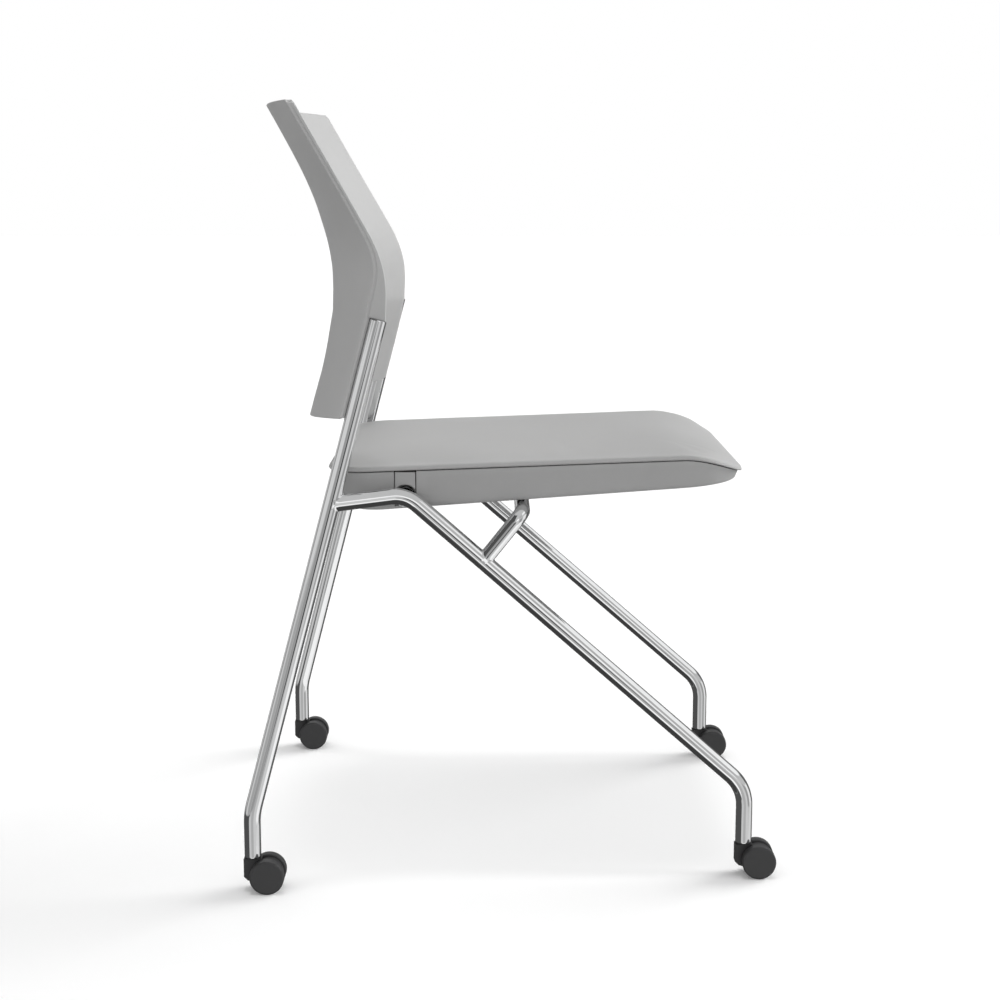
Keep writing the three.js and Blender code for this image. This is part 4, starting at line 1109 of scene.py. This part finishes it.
def slide_along_tube(half, first_rim, last_rim, row, row_weights):
    """Moves the rim's points along the upright until those of one row lie square to it."""
    centre = upright_axis(GROOVE_TOP, "left", 1)
    slide = -((half[row] - centre) @ lean_left)
    columns = np.arange(half.shape[1])
    slide = np.where(columns < first_rim, slide[first_rim], slide)
    slide = np.where(columns >= last_rim, slide[last_rim - 1], slide)
    away = np.maximum(np.maximum(first_rim - columns, columns - last_rim + 1), 0)
    slide = slide * np.maximum(1 - away / SLIDE_COLUMNS, 0)
    return half + (row_weights[:, None] * slide)[..., None] * lean_left


def edge_rows(row, rise):
    """Rows that turn in from the last row on a quarter circle, by the section's own normals."""
    along = np.roll(row, -1, axis=0) - np.roll(row, 1, axis=0)
    area = (row[:, 0] * np.roll(row[:, 1], -1) - row[:, 1] * np.roll(row[:, 0], -1)).sum()
    outward = unit(np.stack([along[:, 1], -along[:, 0]], axis=-1)) * np.sign(area)
    beta = np.linspace(0, math.pi / 2, SHELL_EDGE_STEPS)[1:, None, None]
    rows = np.repeat(row[None], SHELL_EDGE_STEPS - 1, axis=0)
    rows[..., :2] -= SHELL_EDGE * (1 - np.cos(beta)) * outward[None]
    rows[..., 2] += rise * np.sin(beta[..., 0])
    return rows


def make_back_shell():
    """Joins the rows, mirrors them and closes both edges."""
    groove_station = float((GROOVE_TOP - shell_heights(1.0, 0.0)) /
                           (shell_heights(1.0, 1.0) - shell_heights(1.0, 0.0)))
    stations = np.insert(np.linspace(0, groove_station, LOWER_ROWS), 1, EDGE_STATION)
    lower, first_rim, last_rim = shell_half(stations, True)
    weights = np.clip(1 - np.arange(len(stations))[::-1] / SLIDE_ROWS, 0, 1)
    lower = slide_along_tube(lower, first_rim, last_rim, -1, weights)
    stations = np.insert(np.linspace(groove_station, 1, UPPER_ROWS), UPPER_ROWS - 1,
                         1 - EDGE_STATION)
    upper, first_rim, last_rim = shell_half(stations, False)
    weights = np.clip(1 - np.arange(len(stations)) / SLIDE_ROWS, 0, 1)
    upper = slide_along_tube(upper, first_rim, last_rim, 0, weights)
    half = np.concatenate([lower, upper])
    loops = np.concatenate([half, half[:, -2:0:-1] * (-1, 1, 1)], axis=1)
    rows = np.concatenate([edge_rows(loops[0], -SHELL_EDGE)[::-1], loops,
                           edge_rows(loops[-1], SHELL_EDGE)])
    return make_piece("shell_of_the_back", rows, capped_grid_faces(rows), "shell_plastic",
                      "frame", ["back_shell"])


back = make_back_shell()
print(f"back shell: {len(back.data.vertices)} points, {len(back.data.polygons)} faces")

# %% [markdown]
# ## The seat's outline and seam
#
# The pad and the pan share one outline in plan, a rounded rectangle, and one seam line that
# rises forwards and rolls down at the nose. Both are functions of where a point lies, so
# every ring of the pad and of the pan can be worked out from an inset and a height rule.

# %% Seat outline and heights
SEAT_HALF_WIDTH = 209 * MM
SEAT_REAR = 200.5 * MM
SEAT_DEPTH = 456 * MM
SEAT_FRONT = SEAT_REAR - SEAT_DEPTH
FRONT_CORNER = 74 * MM
REAR_CORNER = 46 * MM
LEAST_CORNER = REAR_CORNER / 4
FULLEST_CORNER = 0.98    # of the half width
SEAM_REAR_HEIGHT = 446.1 * MM
SEAM_RISE = 16.8 * MM
NOSE_LENGTH = 69 * MM
NOSE_DROP = 23.4 * MM
NOSE_CURL = 1.6
SLOT_HALF_WIDTH = 12 * MM
SLOT_FLOOR_DROP = 11 * MM
OUTLINE_CORNER_STEPS = 16
OUTLINE_END_STEPS = 30
SIDE_PARTS = (8, 6, 36)
pivot = joint_at["seat_flip"]


def side_stops(rear, front):
    """Y values along a side from rear to front, with both edges of the hinge slot among them."""
    edges = np.clip([rear, pivot[1] + SLOT_HALF_WIDTH, pivot[1] - SLOT_HALF_WIDTH, front],
                    front, rear)
    parts = [np.linspace(start, end, count, endpoint=False)
             for start, end, count in zip(edges[:-1], edges[1:], SIDE_PARTS)]
    return np.concatenate(parts)[1:]


def seat_outline(inset, front_inset=None, rear_inset=None):
    """The rounded rectangle drawn inwards, as points (n, 2), counter-clockwise from the right."""
    half = SEAT_HALF_WIDTH - inset
    front = SEAT_FRONT + (inset if front_inset is None else front_inset)
    rear = SEAT_REAR - (inset if rear_inset is None else rear_inset)
    front_round = min(max(FRONT_CORNER - inset, LEAST_CORNER), FULLEST_CORNER * half)
    rear_round = min(max(REAR_CORNER - inset, LEAST_CORNER), FULLEST_CORNER * half)

    def corner(x, y, radius, start):
        angles = start + np.linspace(0, math.pi / 2, OUTLINE_CORNER_STEPS)
        return np.stack([x + radius * np.cos(angles), y + radius * np.sin(angles)], axis=-1)

    def end(x_from, x_to, y):
        xs = np.linspace(x_from, x_to, OUTLINE_END_STEPS + 1)[1:-1]
        return np.stack([xs, np.full_like(xs, y)], axis=-1)

    stops = side_stops(rear - rear_round, front + front_round)
    left = np.stack([np.full_like(stops, -half), stops], axis=-1)
    return np.concatenate([
        corner(half - rear_round, rear - rear_round, rear_round, 0),
        end(half - rear_round, rear_round - half, rear),
        corner(rear_round - half, rear - rear_round, rear_round, math.pi / 2), left,
        corner(front_round - half, front + front_round, front_round, math.pi),
        end(front_round - half, half - front_round, front),
        corner(half - front_round, front + front_round, front_round, 1.5 * math.pi),
        left[::-1] * (-1, 1)])


def seam_height(y):
    """The seam's height: a straight rise less the nose's roll."""
    into_nose = np.clip((SEAT_FRONT + NOSE_LENGTH - y) / NOSE_LENGTH, 0, 1)
    return SEAM_REAR_HEIGHT + SEAM_RISE * (SEAT_REAR - y) / SEAT_DEPTH - \
        NOSE_DROP * into_nose ** NOSE_CURL


def seat_ring(inset, lift, **insets):
    """One ring of points at a lift above the seam."""
    outline = seat_outline(inset, **insets)
    return np.column_stack([outline, seam_height(outline[:, 1]) + lift])


ring_count = len(seat_outline(0))
print(f"seat outline: {ring_count} points, {2 * SEAT_HALF_WIDTH:.3f} m wide")

# %% [markdown]
# ## The pan
#
# The pan is one thin moulding. A solid could be modelled and hollowed out, but a skin with
# Solidify gives an even wall, as a mould does. Its rings go down the wall, round the lower
# edge and under the floor. Both side walls are open at the hinge slot, so the faces between
# the slot's two edges are left out.

# %% Pan
PAN_RIM_INSET = 1.8 * MM
PAN_DRAFT = 8 * MM
PAN_ROUND = 4 * MM
PAN_FRONT_RAKE = -0.6
PAN_FRONT_SETBACK = 2.2 * MM
PAN_REAR_RAKE = 1.6
PAN_WALL = 3 * MM
PAN_FRONT_DEPTH = 28.5 * MM
PAN_NOSE_DEPTH = 8 * MM
PIVOT_TO_FLOOR = 14.4 * MM
PAN_BEND_START = 0.78
PAN_EDGE = 0.5 * MM
PAN_WALL_ROWS = 8
PAN_SLOT_ROWS = 5     # of the bend, down to the slot's floor
PAN_FLOOR_ROWS = 7    # and from there to the pan's floor
pan_depth_at_pivot = float(seam_height(pivot[1])) - (pivot[2] - PIVOT_TO_FLOOR)
slot_share = (float(seam_height(pivot[1])) - (pivot[2] - SLOT_FLOOR_DROP)) / pan_depth_at_pivot


def pan_floor(y):
    """The floor's height: straight from the front depth, through the depth at the pivot."""
    inside = np.clip(y, SEAT_FRONT, SEAT_REAR)
    forward = (pivot[1] - inside) / (pivot[1] - SEAT_FRONT)
    depth = pan_depth_at_pivot + (PAN_FRONT_DEPTH - pan_depth_at_pivot) * forward
    return SEAM_REAR_HEIGHT + SEAM_RISE * (SEAT_REAR - inside) / SEAT_DEPTH - depth


def pan_ring(share, wall_inset):
    """A ring at a share of the way from the seam down to the floor."""
    inset = PAN_RIM_INSET + wall_inset
    outline = seat_outline(inset, inset + wall_inset * PAN_FRONT_RAKE + PAN_FRONT_SETBACK,
                           inset + wall_inset * PAN_REAR_RAKE)
    top = seam_height(outline[:, 1])
    floor = np.minimum(pan_floor(outline[:, 1]), top - PAN_NOSE_DEPTH)
    return np.column_stack([outline, top + share * (floor - top)])


def make_pan():
    """Straight wall rings, then a quadratic bend into the floor, then the flat floor."""
    slot_turn = 1 - math.sqrt((1 - slot_share) / (1 - PAN_BEND_START))
    turns = np.concatenate([np.linspace(0, slot_turn, PAN_SLOT_ROWS),
                            np.linspace(slot_turn, 1, PAN_FLOOR_ROWS)[1:]])
    shares = 1 - (1 - PAN_BEND_START) * (1 - turns) ** 2
    insets = PAN_DRAFT * (PAN_BEND_START * (1 - turns) ** 2 + 2 * turns * (1 - turns)) + \
        (PAN_DRAFT + PAN_ROUND) * turns ** 2
    rings = [pan_ring(share, PAN_DRAFT * share)
             for share in np.linspace(0, PAN_BEND_START, PAN_WALL_ROWS, endpoint=False)]
    rings += [pan_ring(share, inset) for share, inset in zip(shares, insets)]
    rings.append(pan_ring(1, PAN_DRAFT + 2 * PAN_ROUND))
    rings = np.array(rings)
    faces = grid_faces(len(rings), ring_count)
    middle = rings.reshape(-1, 3)[np.array(faces)].mean(axis=1)
    in_slot = (np.abs(middle[:, 1] - pivot[1]) < SLOT_HALF_WIDTH) & \
        (np.abs(middle[:, 0]) > SEAT_HALF_WIDTH / 2) & \
        (np.arange(len(faces)) // ring_count < PAN_WALL_ROWS + PAN_SLOT_ROWS - 1)
    faces = [face for face, cut in zip(faces, in_slot) if not cut]
    faces += cap_faces(rings[-1], (len(rings) - 1) * ring_count)
    piece = make_piece("pan_under_the_seat", rings, faces, "pan_plastic", "seat", ["seat_pan"])
    lowest = min(piece.data.polygons, key=lambda face: face.center.z)
    if lowest.normal.z > 0:
        piece.data.flip_normals()
    wall_maker = piece.modifiers.new("wall", "SOLIDIFY")
    wall_maker.thickness = PAN_WALL
    wall_maker.offset = -1
    wall_maker.use_even_offset = True
    add_bevel(piece, PAN_EDGE)
    return piece


pan = make_pan()
print(f"pan: {len(pan.data.polygons)} faces before its wall, slot down to {slot_share:.3f}")

# %% [markdown]
# ## The pad
#
# The pad is foam on a board under a stretched cover. Its form starts as rings again: a
# narrow lip at the seam, an upright side, a round upper edge and a low crown. A cover is
# never quite so regular, so Cloth then inflates the upper face a little while the lip and
# sides stay pinned, and the result is kept as plain mesh. The movement is capped, because
# a firm office seat bulges by millimetres only.

# %% Pad form
PAD_LIFT = 1.3 * MM
PAD_LIP_INSET = 2.4 * MM
PAD_LIP_TOP = 2.2 * MM
PAD_LIP_STEPS = 5
PAD_SIDE_RISE = 1.9 * MM
PAD_SIDE_TOP = 4.1 * MM    # PAD_LIP_TOP + PAD_SIDE_RISE
PAD_SIDE = 7.0 * MM        # height of the corner that the round upper edge bends towards
PAD_EDGE_STEPS = 9
PAD_CROWN = 7.4 * MM
PAD_CROWN_WIDTH = 164 * MM
PAD_UNDER_INSETS = (170 * MM, 80 * MM, 30 * MM, 6 * MM)
PAD_NOSE_BLEND = 16 * MM
PAD_NOSE_CURL = 2.25
PAD_ROUND = 6 * MM
SIDE_BULGE = 0.5 * MM
# Insets of the crown's rings in mm, as first, last and count: from the edge, then beyond
CROWN_EDGE_RINGS = (2.5, 30, 10)
CROWN_RINGS = (42, 205, 22)


def crown_lift(inset):
    """Lift of the crown over the seam at an inset from the edge, a half parabola."""
    share = np.clip((inset - PAD_ROUND) / PAD_CROWN_WIDTH, 0, 1)
    return PAD_SIDE + PAD_CROWN * (1 - (1 - share) ** 2)


def pad_profile():
    """Rows of (inset, lift): under face, lip, side, rounded edge and crown, and the number of
    the first row that the cloth may move."""
    under = [(inset, PAD_LIFT) for inset in PAD_UNDER_INSETS]
    t = np.linspace(0, 1, PAD_LIP_STEPS)
    lip = [(PAD_LIP_INSET * (1 - a) ** 2, PAD_LIFT + (PAD_LIP_TOP - PAD_LIFT) * a ** 2)
           for a in t]
    side = [(-SIDE_BULGE * math.sin(math.pi * a), PAD_LIP_TOP + PAD_SIDE_RISE * a)
            for a in t[1:]]
    edge = [(PAD_ROUND * a ** 2, PAD_SIDE_TOP * (1 - a) ** 2 + 2 * a * (1 - a) * PAD_SIDE +
             crown_lift(PAD_ROUND) * a ** 2) for a in np.linspace(0, 1, PAD_EDGE_STEPS)[1:]]
    insets = np.concatenate([PAD_ROUND + np.linspace(*CROWN_EDGE_RINGS) * MM,
                             np.linspace(*CROWN_RINGS) * MM])
    crown = [(inset, float(crown_lift(inset))) for inset in insets]
    rows = np.array(under + lip + side + edge + crown)
    return rows, len(rows) - len(crown)


def make_pad():
    """Rings of the profile round the outline, closed under and over the middle."""
    profile, first_free = pad_profile()
    rings = np.array([seat_ring(inset, lift) for inset, lift in profile])
    into_nose = np.clip((SEAT_FRONT + NOSE_LENGTH - rings[..., 1]) / NOSE_LENGTH, 0, 1)
    above = np.clip((profile[:, 0] - PAD_ROUND) / PAD_NOSE_BLEND, 0, 1)[:, None]
    above[profile[:, 1] <= PAD_LIFT] = 0
    rings[..., 2] += above * NOSE_DROP * (into_nose ** NOSE_CURL - into_nose ** PAD_NOSE_CURL)
    piece = make_piece("pad_of_the_seat", rings, capped_grid_faces(rings), "vinyl", "seat",
                       ["seat_pad"])
    return piece, float(profile[first_free, 0])


def distance_inside(points):
    """How far points lie inside the seat's outline in plan, for points (n, 3)."""
    x = np.abs(points[:, 0])
    y = points[:, 1]
    radius = np.where(y < (SEAT_FRONT + SEAT_REAR) / 2, FRONT_CORNER, REAR_CORNER)
    middle_y = (SEAT_FRONT + SEAT_REAR) / 2
    from_corner_x = x - (SEAT_HALF_WIDTH - radius)
    from_corner_y = np.abs(y - middle_y) - (SEAT_DEPTH / 2 - radius)
    beyond = np.hypot(np.maximum(from_corner_x, 0), np.maximum(from_corner_y, 0))
    return radius - beyond - np.minimum(np.maximum(from_corner_x, from_corner_y), 0)


pad, free_inset = make_pad()
print(f"pad: {len(pad.data.vertices)} points, free from {free_inset * 1000:.1f} mm inwards")

# %% Pad simulation
CLOTH_SETTINGS = {"quality": 6, "mass": 0.3, "tension_stiffness": 30,
                  "compression_stiffness": 30, "bending_stiffness": 4, "use_pressure": True,
                  "uniform_pressure_force": 4.0, "vertex_group_mass": "pins"}
CLOTH_FRAMES = 20
PIN_BAND = 14 * MM
PINNED_SIDE_SHARE = 0.9    # below this share of the side's height all points are held
BULGE_CAP = 3.0 * MM
LEAST_MOVE = 1e-9


def inflate(piece):
    """Blows the pad up with Cloth, caps how far each point moves by cap * tanh(move / cap),
    and writes the result into the mesh."""
    mesh = piece.data
    rest = np.empty(len(mesh.vertices) * 3)
    mesh.vertices.foreach_get("co", rest)
    rest = rest.reshape(-1, 3)
    above = rest[:, 2] - seam_height(rest[:, 1])
    inside = distance_inside(rest)
    hold = np.clip(1 - (inside - free_inset) / PIN_BAND, 0, 1)
    hold[above < PAD_SIDE * PINNED_SIDE_SHARE] = 1.0
    pins = piece.vertex_groups.new(name="pins")
    for index, weight in enumerate(hold.tolist()):
        pins.add([index], weight, "REPLACE")
    cloth = piece.modifiers.new("cloth", "CLOTH")
    for name, value in CLOTH_SETTINGS.items():
        setattr(cloth.settings, name, value)
    cloth.settings.effector_weights.gravity = 0
    cloth.collision_settings.use_collision = False
    scene = bpy.context.scene
    for number in range(1, CLOTH_FRAMES + 1):
        scene.frame_set(number)
    ready = piece.evaluated_get(bpy.context.evaluated_depsgraph_get()).to_mesh()
    blown = np.empty_like(rest).ravel()
    ready.vertices.foreach_get("co", blown)
    blown = blown.reshape(-1, 3)
    piece.to_mesh_clear()
    scene.frame_set(1)
    piece.modifiers.remove(cloth)
    piece.vertex_groups.remove(pins)
    moved = blown - rest
    size = np.linalg.norm(moved, axis=1, keepdims=True)
    capped = rest + moved * BULGE_CAP * np.tanh(size / BULGE_CAP) / np.maximum(size, LEAST_MOVE)
    mesh.vertices.foreach_set("co", capped.ravel())
    mesh.update()
    return float(size.max())


print(f"pad: cloth moved it by {inflate(pad) * 1000:.1f} mm before the cap")
finer = pad.modifiers.new("smoother", "SUBSURF")
finer.levels = finer.render_levels = 1

# %% [markdown]
# ## Hinge blocks and inserts
#
# Under the board, two blocks rest on the pivot tube with half-round bearings. Each has a
# thin plate at its outer end that closes the pan's slot above the tube. In a side view all
# of these are plain outlines, so they are prisms: an outline carried along X and closed by
# flat ends, with small rounded edges.

# %% Prisms
ARC_POINTS = 28


def prism(outline, x_from, x_to, first=0):
    """Points and faces of an outline of (y, z) carried along X. first is the number of its
    first point."""
    outline = np.asarray(outline, float)
    count = len(outline)
    near = np.column_stack([np.full(count, x_from), outline])
    far = np.column_stack([np.full(count, x_to), outline])
    sides = [[first + corner for corner in face] for face in grid_faces(2, count)]
    return np.concatenate([near, far]), \
        sides + cap_faces(outline, first) + cap_faces(outline, first + count)


def join_prisms(*parts):
    """Several prisms as one set of points and faces."""
    points = []
    faces = []
    for outline, x_from, x_to in parts:
        made, made_faces = prism(outline, x_from, x_to, sum(len(p) for p in points))
        points.append(made)
        faces += made_faces
    return np.concatenate(points), faces


def arc(y, z, radius, start, end, steps=ARC_POINTS):
    """Points of an arc in the side view."""
    angles = np.linspace(start, end, steps)
    return np.stack([y + radius * np.cos(angles), z + radius * np.sin(angles)], axis=-1)


# %% Hinge blocks
BEARING_CLEARANCE = 0.5 * MM
INSERT_RADIUS = 13 * MM
INSERT_HALF = 10.9 * MM
INSERT_CLEARANCE = 0.6 * MM
INSERT_THICKNESS = 4.5 * MM
INSERT_INSET = 1.9 * MM
INSERT_FACE = SEAT_HALF_WIDTH - INSERT_INSET
BLOCK_WIDTH = 30 * MM
BLOCK_END_GAP = 0.8 * MM
BLOCK_END = SEAT_HALF_WIDTH - PAN_RIM_INSET - PAN_DRAFT - PAN_ROUND - PAN_WALL - BLOCK_END_GAP
BLOCK_HALF_DEPTH = 20 * MM
BLOCK_EDGE = 0.35 * MM
NECK_OVERLAP = 0.8 * MM
BUMPER_EDGE = 0.6 * MM
BOARD_THICKNESS = 5 * MM
BOARD_LIFT = 3.8 * MM
SOFT_SEGMENTS = 3


def block_top(y):
    """The board's underside, where the block seats."""
    return seam_height(y) + BOARD_LIFT - BOARD_THICKNESS - SEAT_GAP


def make_hinge_block(word, sign):
    """The bearing block, the insert and the neck between them."""
    y, z = pivot[1:]
    bearing = TUBE_RADIUS + BEARING_CLEARANCE
    rear = y + BLOCK_HALF_DEPTH
    front = y - BLOCK_HALF_DEPTH
    block = np.concatenate([[(rear, z), (rear, block_top(rear)), (front, block_top(front)),
                             (front, z)], arc(y, z, bearing, math.pi, 0)])
    sweep = math.asin(INSERT_HALF / INSERT_RADIUS)
    top = float(seam_height(y)) - INSERT_CLEARANCE
    insert = np.concatenate([[(y + INSERT_HALF, top), (y - INSERT_HALF, top)],
                             arc(y, z, INSERT_RADIUS, math.pi / 2 + sweep, math.pi / 2 - sweep)])
    neck_top = float(block_top(y + INSERT_HALF))
    neck_foot = z + INSERT_RADIUS + SEAT_GAP
    neck = [(y - INSERT_HALF, neck_foot), (y + INSERT_HALF, neck_foot),
            (y + INSERT_HALF, neck_top), (y - INSERT_HALF, neck_top)]
    points, faces = join_prisms(
        (block, sign * BLOCK_END, sign * (BLOCK_END - BLOCK_WIDTH)),
        (insert, sign * INSERT_FACE, sign * (INSERT_FACE - INSERT_THICKNESS)),
        (neck, sign * (BLOCK_END - NECK_OVERLAP), sign * (INSERT_FACE - INSERT_THICKNESS / 2)))
    piece = make_piece(f"hinge_block_and_insert_{word}", points, faces, "pan_plastic", "seat",
                       [f"hinge_block_{word}"])
    add_bevel(piece, BLOCK_EDGE)


def make_bumper(word):
    """A rubber block that lands on the crossbar."""
    low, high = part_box(f"seat_bumper_{word}")
    outline = [(low.y, low.z), (high.y, low.z), (high.y, float(pan_floor(high.y)) - SEAT_GAP),
               (low.y, float(pan_floor(low.y)) - SEAT_GAP)]
    points, faces = prism(outline, low.x, high.x)
    piece = make_piece(f"rubber_bumper_{word}", points, faces, "rubber", "seat",
                       [f"seat_bumper_{word}"])
    add_bevel(piece, BUMPER_EDGE, SOFT_SEGMENTS)


for word, sign in SIDES:
    make_hinge_block(word, sign)
    make_bumper(word)
print("hinge blocks and bumpers: 4")

# %% [markdown]
# ## Casters
#
# Each caster has a horn on a stem and two small wheels. The wheels are turned shapes with
# a tread that rounds over into a flat disc. The horn is a short block with a round web
# round the axle; most of it hides between the wheels.

# %% Casters
WHEEL_RADIUS = 18.6 * MM
WHEEL_WIDTH = 11.2 * MM
WHEEL_GAP = 6.5 * MM
WHEEL_EDGE = 1.2 * MM
WHEEL_SHOULDER = 3.1 * MM
CASTER_TRAIL = 16 * MM
WHEEL_SHOULDER_STEPS = 11
AXLE_RADIUS = 2.4 * MM
AXLE_REACH_SHARE = 0.7    # of the wheel's width
STEM_RADIUS = 4 * MM
HORN_HALF_WIDTH = 6 * MM
HORN_REACH = 9.6 * MM
HORN_TOP = 36.3 * MM
HORN_FOOT = 12.5 * MM
HORN_CHAMFER = 4 * MM
HORN_EDGE = 0.7 * MM
WEB_RADIUS = 16.4 * MM
WEB_STEPS = 72
WEB_INSET = 0.1 * MM
FLANGE = 1.1 * MM
FLANGE_CHAMFER = 0.3 * MM
SOCKET_LENGTH = 34 * MM


def make_wheel(name, x, y, word, sign):
    """A wheel from its inner face outwards, with its bore, tread, round shoulder and disc."""
    node = f"wheel_{name}_{word}"
    bore = AXLE_RADIUS + BEARING_CLEARANCE
    bore_end = WHEEL_WIDTH * AXLE_REACH_SHARE + BEARING_CLEARANCE
    middle = (WHEEL_RADIUS, WHEEL_WIDTH / 2)
    inner = rounded([(bore, 0), (WHEEL_RADIUS, 0), middle], WHEEL_EDGE)
    shoulder = rounded([middle, (WHEEL_RADIUS, WHEEL_WIDTH), (WHEEL_RADIUS / 2, WHEEL_WIDTH)],
                       WHEEL_SHOULDER, WHEEL_SHOULDER_STEPS)
    profile = np.concatenate([[(0, bore_end), (bore, bore_end)], inner, shoulder[1:],
                              [(0, WHEEL_WIDTH)]])
    origin = (x + sign * WHEEL_GAP, y - CASTER_TRAIL, WHEEL_RADIUS)
    make_turned(f"twin_{node}", profile, origin, (sign, 0, 0), "wheel_nylon",
                body_of_node[node], [node])


def make_horn(name, x, y):
    """The horn: a block under the stub and a round web round the axle."""
    block = [(y + HORN_REACH, HORN_FOOT + HORN_CHAMFER), (y + HORN_REACH, HORN_TOP),
             (y - HORN_REACH, HORN_TOP), (y - HORN_REACH, WHEEL_RADIUS),
             (y - CASTER_TRAIL / 2, HORN_FOOT - HORN_CHAMFER),
             (y + HORN_REACH - HORN_CHAMFER, HORN_FOOT)]
    web = arc(y - CASTER_TRAIL, WHEEL_RADIUS, WEB_RADIUS, 0, 2 * math.pi, WEB_STEPS + 1)[:-1]
    points, faces = join_prisms((block, x - HORN_HALF_WIDTH, x + HORN_HALF_WIDTH),
                                (web, x - HORN_HALF_WIDTH + WEB_INSET,
                                 x + HORN_HALF_WIDTH - WEB_INSET))
    piece = make_piece(f"horn_{name}", points, faces, "horn_nylon", f"caster_{name}",
                       [f"caster_horn_{name}"])
    add_bevel(piece, HORN_EDGE, SOFT_SEGMENTS)


def make_socket(name, x, y):
    """The sleeve in the tube's end with its flange, as one closed turned section."""
    bore = STEM_RADIUS + BEARING_CLEARANCE
    sleeve = TUBE_RADIUS - TUBE_WALL - SEAT_GAP
    foot = STUB_FOOT - SEAT_GAP - FLANGE
    section = [(bore, foot), (TUBE_RADIUS - FLANGE_CHAMFER, foot),
               (TUBE_RADIUS, foot + FLANGE_CHAMFER), (TUBE_RADIUS, foot + FLANGE),
               (sleeve, foot + FLANGE), (sleeve, foot + SOCKET_LENGTH),
               (bore, foot + SOCKET_LENGTH)]
    make_turned(f"socket_{name}", section, (x, y, 0), (0, 0, 1), "horn_nylon", "frame",
                [f"stem_socket_{name}"], close_rows=True)


for place in ("rear", "front"):
    for side_word, _ in SIDES:
        caster = f"{place}_{side_word}"
        x, y, _ = joint_at[f"swivel_{caster}"]
        make_horn(caster, x, y)
        make_socket(caster, x, y)
        for word, sign in SIDES:
            make_wheel(caster, x, y, word, sign)
print("casters: 4, wheels: 8")

# %% [markdown]
# ## Pieces that keep their solids
#
# The stems, axles, hinge straps, screws and the board are already right as solids, and
# hardly show. They only get their finishes.

# %% Finishes of the kept solids
KEPT_FINISHES = {"seat_board": "plywood", "caster_stem": "zinc_steel",
                 "caster_axle": "zinc_steel", "hinge_strap": "zinc_steel",
                 "hinge_screw": "zinc_steel"}
for node, solid in frame["nodes"].items():
    for start, finish in KEPT_FINISHES.items():
        if node.startswith(start):
            for material_slot in solid.material_slots:
                material_slot.material = finishes[finish]
